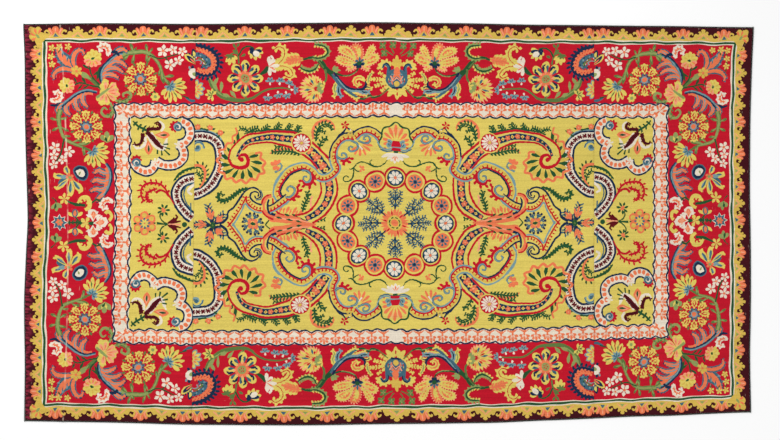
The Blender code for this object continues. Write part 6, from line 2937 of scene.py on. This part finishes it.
@dataclass
class Handwork:
    """A geometry tree that sets handwork along a line, with named sizes.

    Attributes:
        name: The tree's name.
        sizes: Its named inputs and their usual values.
    """

    name: str
    sizes: dict[str, float]

    def __post_init__(self) -> None:
        """Starts the tree with its sockets."""
        self.tree = bpy.data.node_groups.new(self.name, "GeometryNodeTree")
        self.tree.is_modifier = True
        self.tree.interface.new_socket("Line", in_out="INPUT", socket_type="NodeSocketGeometry")
        self.tree.interface.new_socket("Work", in_out="OUTPUT", socket_type="NodeSocketGeometry")
        self.names: dict[str, str] = {}
        for name, value in self.sizes.items():
            socket = self.tree.interface.new_socket(name, in_out="INPUT", socket_type="NodeSocketFloat")
            socket.default_value = value
            self.names[name] = socket.identifier
        material = self.tree.interface.new_socket("Yarn", in_out="INPUT",
            socket_type="NodeSocketMaterial")
        self.names["Yarn"] = material.identifier
        self.wiring = Wiring(self.tree)
        self.given = self.tree.nodes.new("NodeGroupInput")

    def size(self, name: str) -> Signal:
        """Gives one of the tree's inputs."""
        return Signal(self.wiring, self.given.outputs[name])

    def line(self) -> Signal:
        """Gives the line that the work follows."""
        return self.wiring.node("GeometryNodeMeshToCurve", None, {"Mesh": self.size("Line")})

    def vector(self, x: Signal | float, y: Signal | float, z: Signal | float) -> Signal:
        """Puts three numbers together."""
        return self.wiring.node("ShaderNodeCombineXYZ", None, {0: x, 1: y, 2: z})

    def spaced(self, unit: Signal, lean: Signal, seed: int) -> Signal:
        """Sets a unit along the line at even spaces, each turned to it.

        Args:
            unit: The geometry of one unit, with the line along its Z.
            lean: How far each leans sideways.
            seed: The seed of its unevenness.

        Returns:
            The units as one mesh.
        """
        w = self.wiring
        points = w.node("GeometryNodeResampleCurve", {"mode": "LENGTH"}, {"Curve": self.line(),
            "Length": self.size("Pitch")})
        tangent = w.node("GeometryNodeInputTangent")
        side = w.node("ShaderNodeVectorMath", {"operation": "CROSS_PRODUCT"}, {0: (0.0, 0.0, 1.0),
            1: tangent})
        uneven = w.node(
            "FunctionNodeRandomValue", {"data_type": "FLOAT"}, {2: -0.06, 3: 0.06, "Seed": seed}, 1
        )
        leaning = w.node("ShaderNodeVectorMath", {"operation": "SCALE"}, {0: side,
            "Scale": lean + uneven})
        facing = w.node("ShaderNodeVectorMath", {"operation": "ADD"}, {0: tangent, 1: leaning})
        turned = w.node("FunctionNodeAlignRotationToVector", {"axis": "Z", "pivot_axis": "AUTO"},
            {"Vector": facing})
        grown = w.node("FunctionNodeRandomValue", {"data_type": "FLOAT"}, {2: 0.93, 3: 1.0,
            "Seed": seed + 1}, 1)
        units = w.node(
            "GeometryNodeInstanceOnPoints", None,
            {"Points": points, "Instance": unit, "Rotation": turned,
                "Scale": self.vector(grown, grown, grown)},
        )
        return w.node("GeometryNodeRealizeInstances", None, {"Geometry": units})

    def finished(self, parts: Sequence[Signal]) -> Handwork:
        """Ends the tree: joins its parts and gives them their yarn.

        Args:
            parts: The geometries that it joins.

        Returns:
            This piece of handwork.
        """
        w = self.wiring
        joined = self.tree.nodes.new("GeometryNodeJoinGeometry")
        for part in parts:
            self.tree.links.new(part.socket, joined.inputs[0])
        smooth = w.node("GeometryNodeSetShadeSmooth", None, {"Geometry": Signal(w, joined.outputs[0])})
        made = w.node("GeometryNodeSetMaterial", None, {"Geometry": smooth,
            "Material": self.size("Yarn")})
        self.tree.links.new(made.socket, self.tree.nodes.new("NodeGroupOutput").inputs[0])
        return self

    def worked(
        self, name: str, path: np.ndarray, yarn: bpy.types.Material,
        sizes: dict[str, float] | None = None
    ) -> bpy.types.Object:
        """Works along a path and keeps the result as a plain mesh.

        Args:
            name: The piece's name.
            path: The path's points, one row each.
            yarn: The material.
            sizes: The sizes that differ from the usual ones.

        Returns:
            The piece's object.
        """
        guide = bpy.data.meshes.new(name + "_path")
        guide.from_pydata([tuple(map(float, p)) for p in path],
            [(k, k + 1) for k in range(len(path) - 1)], [])
        holder = bpy.data.objects.new(name + "_path", guide)
        bpy.context.scene.collection.objects.link(holder)
        modifier = holder.modifiers.new(self.name, "NODES")
        modifier.node_group = self.tree
        for key, value in {**self.sizes, **(sizes or {})}.items():
            modifier[self.names[key]] = value
        modifier[self.names["Yarn"]] = yarn
        graph = bpy.context.evaluated_depsgraph_get()
        mesh = bpy.data.meshes.new_from_object(holder.evaluated_get(graph), depsgraph=graph)
        mesh.name = name
        holder.modifiers.remove(modifier)
        bpy.data.objects.remove(holder)
        piece = bpy.data.objects.new(name, mesh)
        bpy.context.scene.collection.objects.link(piece)
        log.info("%s: %d faces", name, len(mesh.polygons))
        return piece


def overcast_tree() -> Handwork:
    """Makes the tree of the overcast edge: a cord, and the yarn sewn round it."""
    sizes = {"Pitch": 0.0078, "Core Radius": 0.0036, "Wrap Radius": 0.0035, "Yarn Radius": 0.00095,
        "Lean": 0.45}
    work = Handwork("overcast_edge", sizes)
    w = work.wiring
    around = w.node("GeometryNodeCurvePrimitiveCircle", {"mode": "RADIUS"}, {"Resolution": 8,
        "Radius": work.size("Core Radius")})
    core = w.node("GeometryNodeCurveToMesh", None, {"Curve": work.line(), "Profile Curve": around,
        "Fill Caps": True})
    wrap = w.node("GeometryNodeCurvePrimitiveCircle", {"mode": "RADIUS"}, {"Resolution": 8,
        "Radius": work.size("Wrap Radius")})
    strand = w.node("GeometryNodeCurvePrimitiveCircle", {"mode": "RADIUS"}, {"Resolution": 3,
        "Radius": work.size("Yarn Radius")})
    ring = w.node("GeometryNodeCurveToMesh", None, {"Curve": wrap, "Profile Curve": strand})
    return work.finished([core, work.spaced(ring, work.size("Lean"), 11)])


def stitch_tree() -> Handwork:
    """Makes the tree of a seam: small stitches laid across the line, each on a slant."""
    sizes = {"Pitch": 0.011, "Reach": 0.0042, "Rise": 0.0012, "Yarn Radius": 0.0006, "Lean": 0.5}
    work = Handwork("seam_stitches", sizes)
    w = work.wiring
    reach = work.size("Reach")
    bow = w.node(
        "GeometryNodeCurveQuadraticBezier", None,
        {
            "Resolution": 4,
            "Start": work.vector(0.0, reach * -1.0, 0.0),
            "Middle": work.vector(work.size("Rise") * -2.0, 0.0, 0.0),
            "End": work.vector(0.0, reach, 0.0),
        },
    )
    strand = w.node("GeometryNodeCurvePrimitiveCircle", {"mode": "RADIUS"}, {"Resolution": 4,
        "Radius": work.size("Yarn Radius")})
    stitch = w.node("GeometryNodeCurveToMesh", None, {"Curve": bow, "Profile Curve": strand,
        "Fill Caps": True})
    return work.finished([work.spaced(stitch, work.size("Lean"), 23)])


@dataclass
class OvercastEdge:
    """The cord sewn round the carpet's edge with overcast yarn.

    Attributes:
        cloth: The lie of the cloth.
        radius: The cord's radius with its yarn.
        gap: The room between the cord and the panel.
        step: The widest spacing of the path's points.
    """

    cloth: ClothShape
    radius: float = 0.0045
    gap: float = 0.0003
    step: float = 0.03

    def paths(self) -> dict[str, np.ndarray]:
        """Gives the path of each stretch of the cord, by its node's name."""
        cloth, out = self.cloth, self.radius + self.gap
        found = {}
        for side, sign in (("back", 1), ("front", -1)):
            far = cloth.high[1] if sign > 0 else cloth.low[1]
            ends = [float(cloth.edge(name, np.array([far]))[0]) for name in ("left", "left_seam_out",
                "right_seam_out", "right")]
            for part, start, stop in (("left", ends[0], ends[1]), ("centre", ends[1], ends[2]),
                ("right", ends[2], ends[3])):
                x = np.linspace(start, stop, math.ceil((stop - start) / self.step) + 1)
                y = cloth.edge(side, x)
                found[f"{part}_{side}"] = self.lifted(x, y + sign * out, x, y)
        for side, sign in (("left", -1), ("right", 1)):
            corner = [float(cloth.edge(name,
                np.array([sign * cloth.high[0]]))[0]) for name in ("front", "back")]
            y = np.linspace(corner[0], corner[1], math.ceil((corner[1] - corner[0]) / self.step) + 1)
            x = cloth.edge(side, y)
            path = self.lifted(x + sign * out, y, x, y)
            reach = np.array([0.0, 2 * self.radius + self.gap, 0.0])
            found[f"{side}_end"] = np.vstack([path[:1] - reach, path, path[-1:] + reach])
        return found

    def lifted(
        self, x: np.ndarray, y: np.ndarray, over_x: np.ndarray, over_y: np.ndarray
    ) -> np.ndarray:
        """Sets a path on the height that the cloth has beside it."""
        return np.column_stack([x, y, self.cloth.lift(over_x, over_y) + self.radius])

    def build(self, yarn: bpy.types.Material) -> dict[str, bpy.types.Object]:
        """Makes every stretch.

        Args:
            yarn: The material.

        Returns:
            The pieces, by their nodes' names.
        """
        tree = overcast_tree()
        return {f"{name}_cord": tree.worked(f"{name}_overcast", path, yarn) for name,
            path in self.paths().items()}


@dataclass
class JoiningSeam:
    """The stitches that join an end panel to the middle one.

    Attributes:
        cloth: The lie of the cloth.
        side: Which end panel it is, left or right.
    """

    cloth: ClothShape
    side: str

    def build(self, tree: Handwork, yarn: bpy.types.Material) -> bpy.types.Object:
        """Makes the seam's stitches.

        Args:
            tree: The stitches' Geometry Nodes tree.
            yarn: Their material.

        Returns:
            The finished piece.
        """
        y = np.linspace(self.cloth.low[1] + 0.06, self.cloth.high[1] - 0.11, 120)
        x = (self.cloth.edge(f"{self.side}_seam_in", y) + self.cloth.edge(f"{self.side}_seam_out", y)) / 2
        z = self.cloth.lift(x, y) + self.cloth.thickness - 0.0012
        return tree.worked(f"{self.side}_seam_stitches", np.column_stack([x, y, z]), yarn)


@dataclass
class Studio:
    """A pale floor, soft light from all round and above, and a camera that looks straight down.

    Attributes:
        view_width: How much of the floor the picture shows from side to side.
        lens: The camera's focal length, in millimetres.
        sensor: The width of its sensor, in millimetres.
        aim: The x and y of the picture's middle.
        floor_reach: How far the floor goes from the middle.
    """

    view_width: float = 780 * KNOT_SQUARE
    lens: float = 100.0
    sensor: float = 36.0
    aim: tuple[float, float] = (0.0108, 0.027)
    floor_reach: float = 12.0

    def build(self) -> None:
        """Sets the studio up."""
        scene = bpy.context.scene
        scene.view_settings.view_transform = "Standard"
        mesh = bpy.data.meshes.new("floor")
        far = self.floor_reach
        mesh.from_pydata([(-far, -far, 0), (far, -far, 0), (far, far, 0), (-far, far, 0)], [],
            [(0, 1, 2, 3)])
        mesh.materials.append(FloorFinish().make())
        floor = bpy.data.objects.new("floor", mesh)
        scene.collection.objects.link(floor)
        floor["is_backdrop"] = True
        world = bpy.data.worlds.new("studio")
        world.use_nodes = True
        sky = world.node_tree.nodes["Background"]
        sky.inputs["Color"].default_value = (1.0, 1.0, 1.0, 1.0)
        sky.inputs["Strength"].default_value = 0.66
        scene.world = world
        for name, place, size, power in (
            ("key", (-4.0, 3.5, 6.5), 3.0, 300.0),
            ("fill", (4.5, -3.0, 7.0), 4.0, 110.0),
        ):
            light = bpy.data.lights.new(name, "AREA")
            light.shape, light.size, light.energy = "DISK", size, power
            lamp = bpy.data.objects.new(name, light)
            lamp.location = place
            lamp.rotation_euler = (Vector((0, 0, 0)) - Vector(place)).to_track_quat("-Z", "Y").to_euler()
            scene.collection.objects.link(lamp)
        optics = bpy.data.cameras.new("camera")
        optics.lens, optics.sensor_width, optics.sensor_fit = self.lens, self.sensor, "HORIZONTAL"
        optics.clip_end = 60.0
        camera = bpy.data.objects.new("camera", optics)
        camera.location = (*self.aim, self.view_width * self.lens / self.sensor)
        scene.collection.objects.link(camera)
        scene.camera = camera


def main() -> None:
    """Builds the carpet, piece by piece."""
    logging.basicConfig(level=logging.INFO, format="%(name)s %(message)s")
    Studio().build()
    cloth = ClothShape(frame["nodes"])
    chart = woven_chart()
    log.info("chart: %d patches", len(chart.patches))
    edge_yarn = YarnFinish("edge_yarn", (58, 66, 52), (22, 30, 34)).make()
    edges = OvercastEdge(cloth).build(edge_yarn)
    for node, piece in edges.items():
        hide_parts(node)
        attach(piece, "root")
    thread = YarnFinish("seam_thread", (120, 86, 60), (84, 40, 34)).make()
    stitches = stitch_tree()
    seams = [JoiningSeam(cloth, side).build(stitches, thread) for side in ("left", "right")]
    for piece in seams:
        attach(piece, "root")
    wool = WoolFinish().make()
    for name, zone, low, high, flat in (
        ("left_carpet", Zone.ENDS, SEAM_U, EDGE_U, (2.88, 1.215)),
        ("centre_carpet", Zone.CENTRE, -SEAM_U, SEAM_U, (2.88, 2.882)),
        ("right_carpet", Zone.ENDS, -EDGE_U, -SEAM_U, (2.83, 1.12)),
    ):
        node = name.replace("carpet", "panel")
        panel = WovenPanel(name, node, zone, low, high).build(chart, cloth, wool)
        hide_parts(node)
        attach(panel, "root")
        side = name.split("_")[0]
        sewn_on = [piece for node, piece in edges.items() if node.startswith(side)]
        if side == "centre":
            sewn_on += seams


if __name__ == "__main__":
    main()
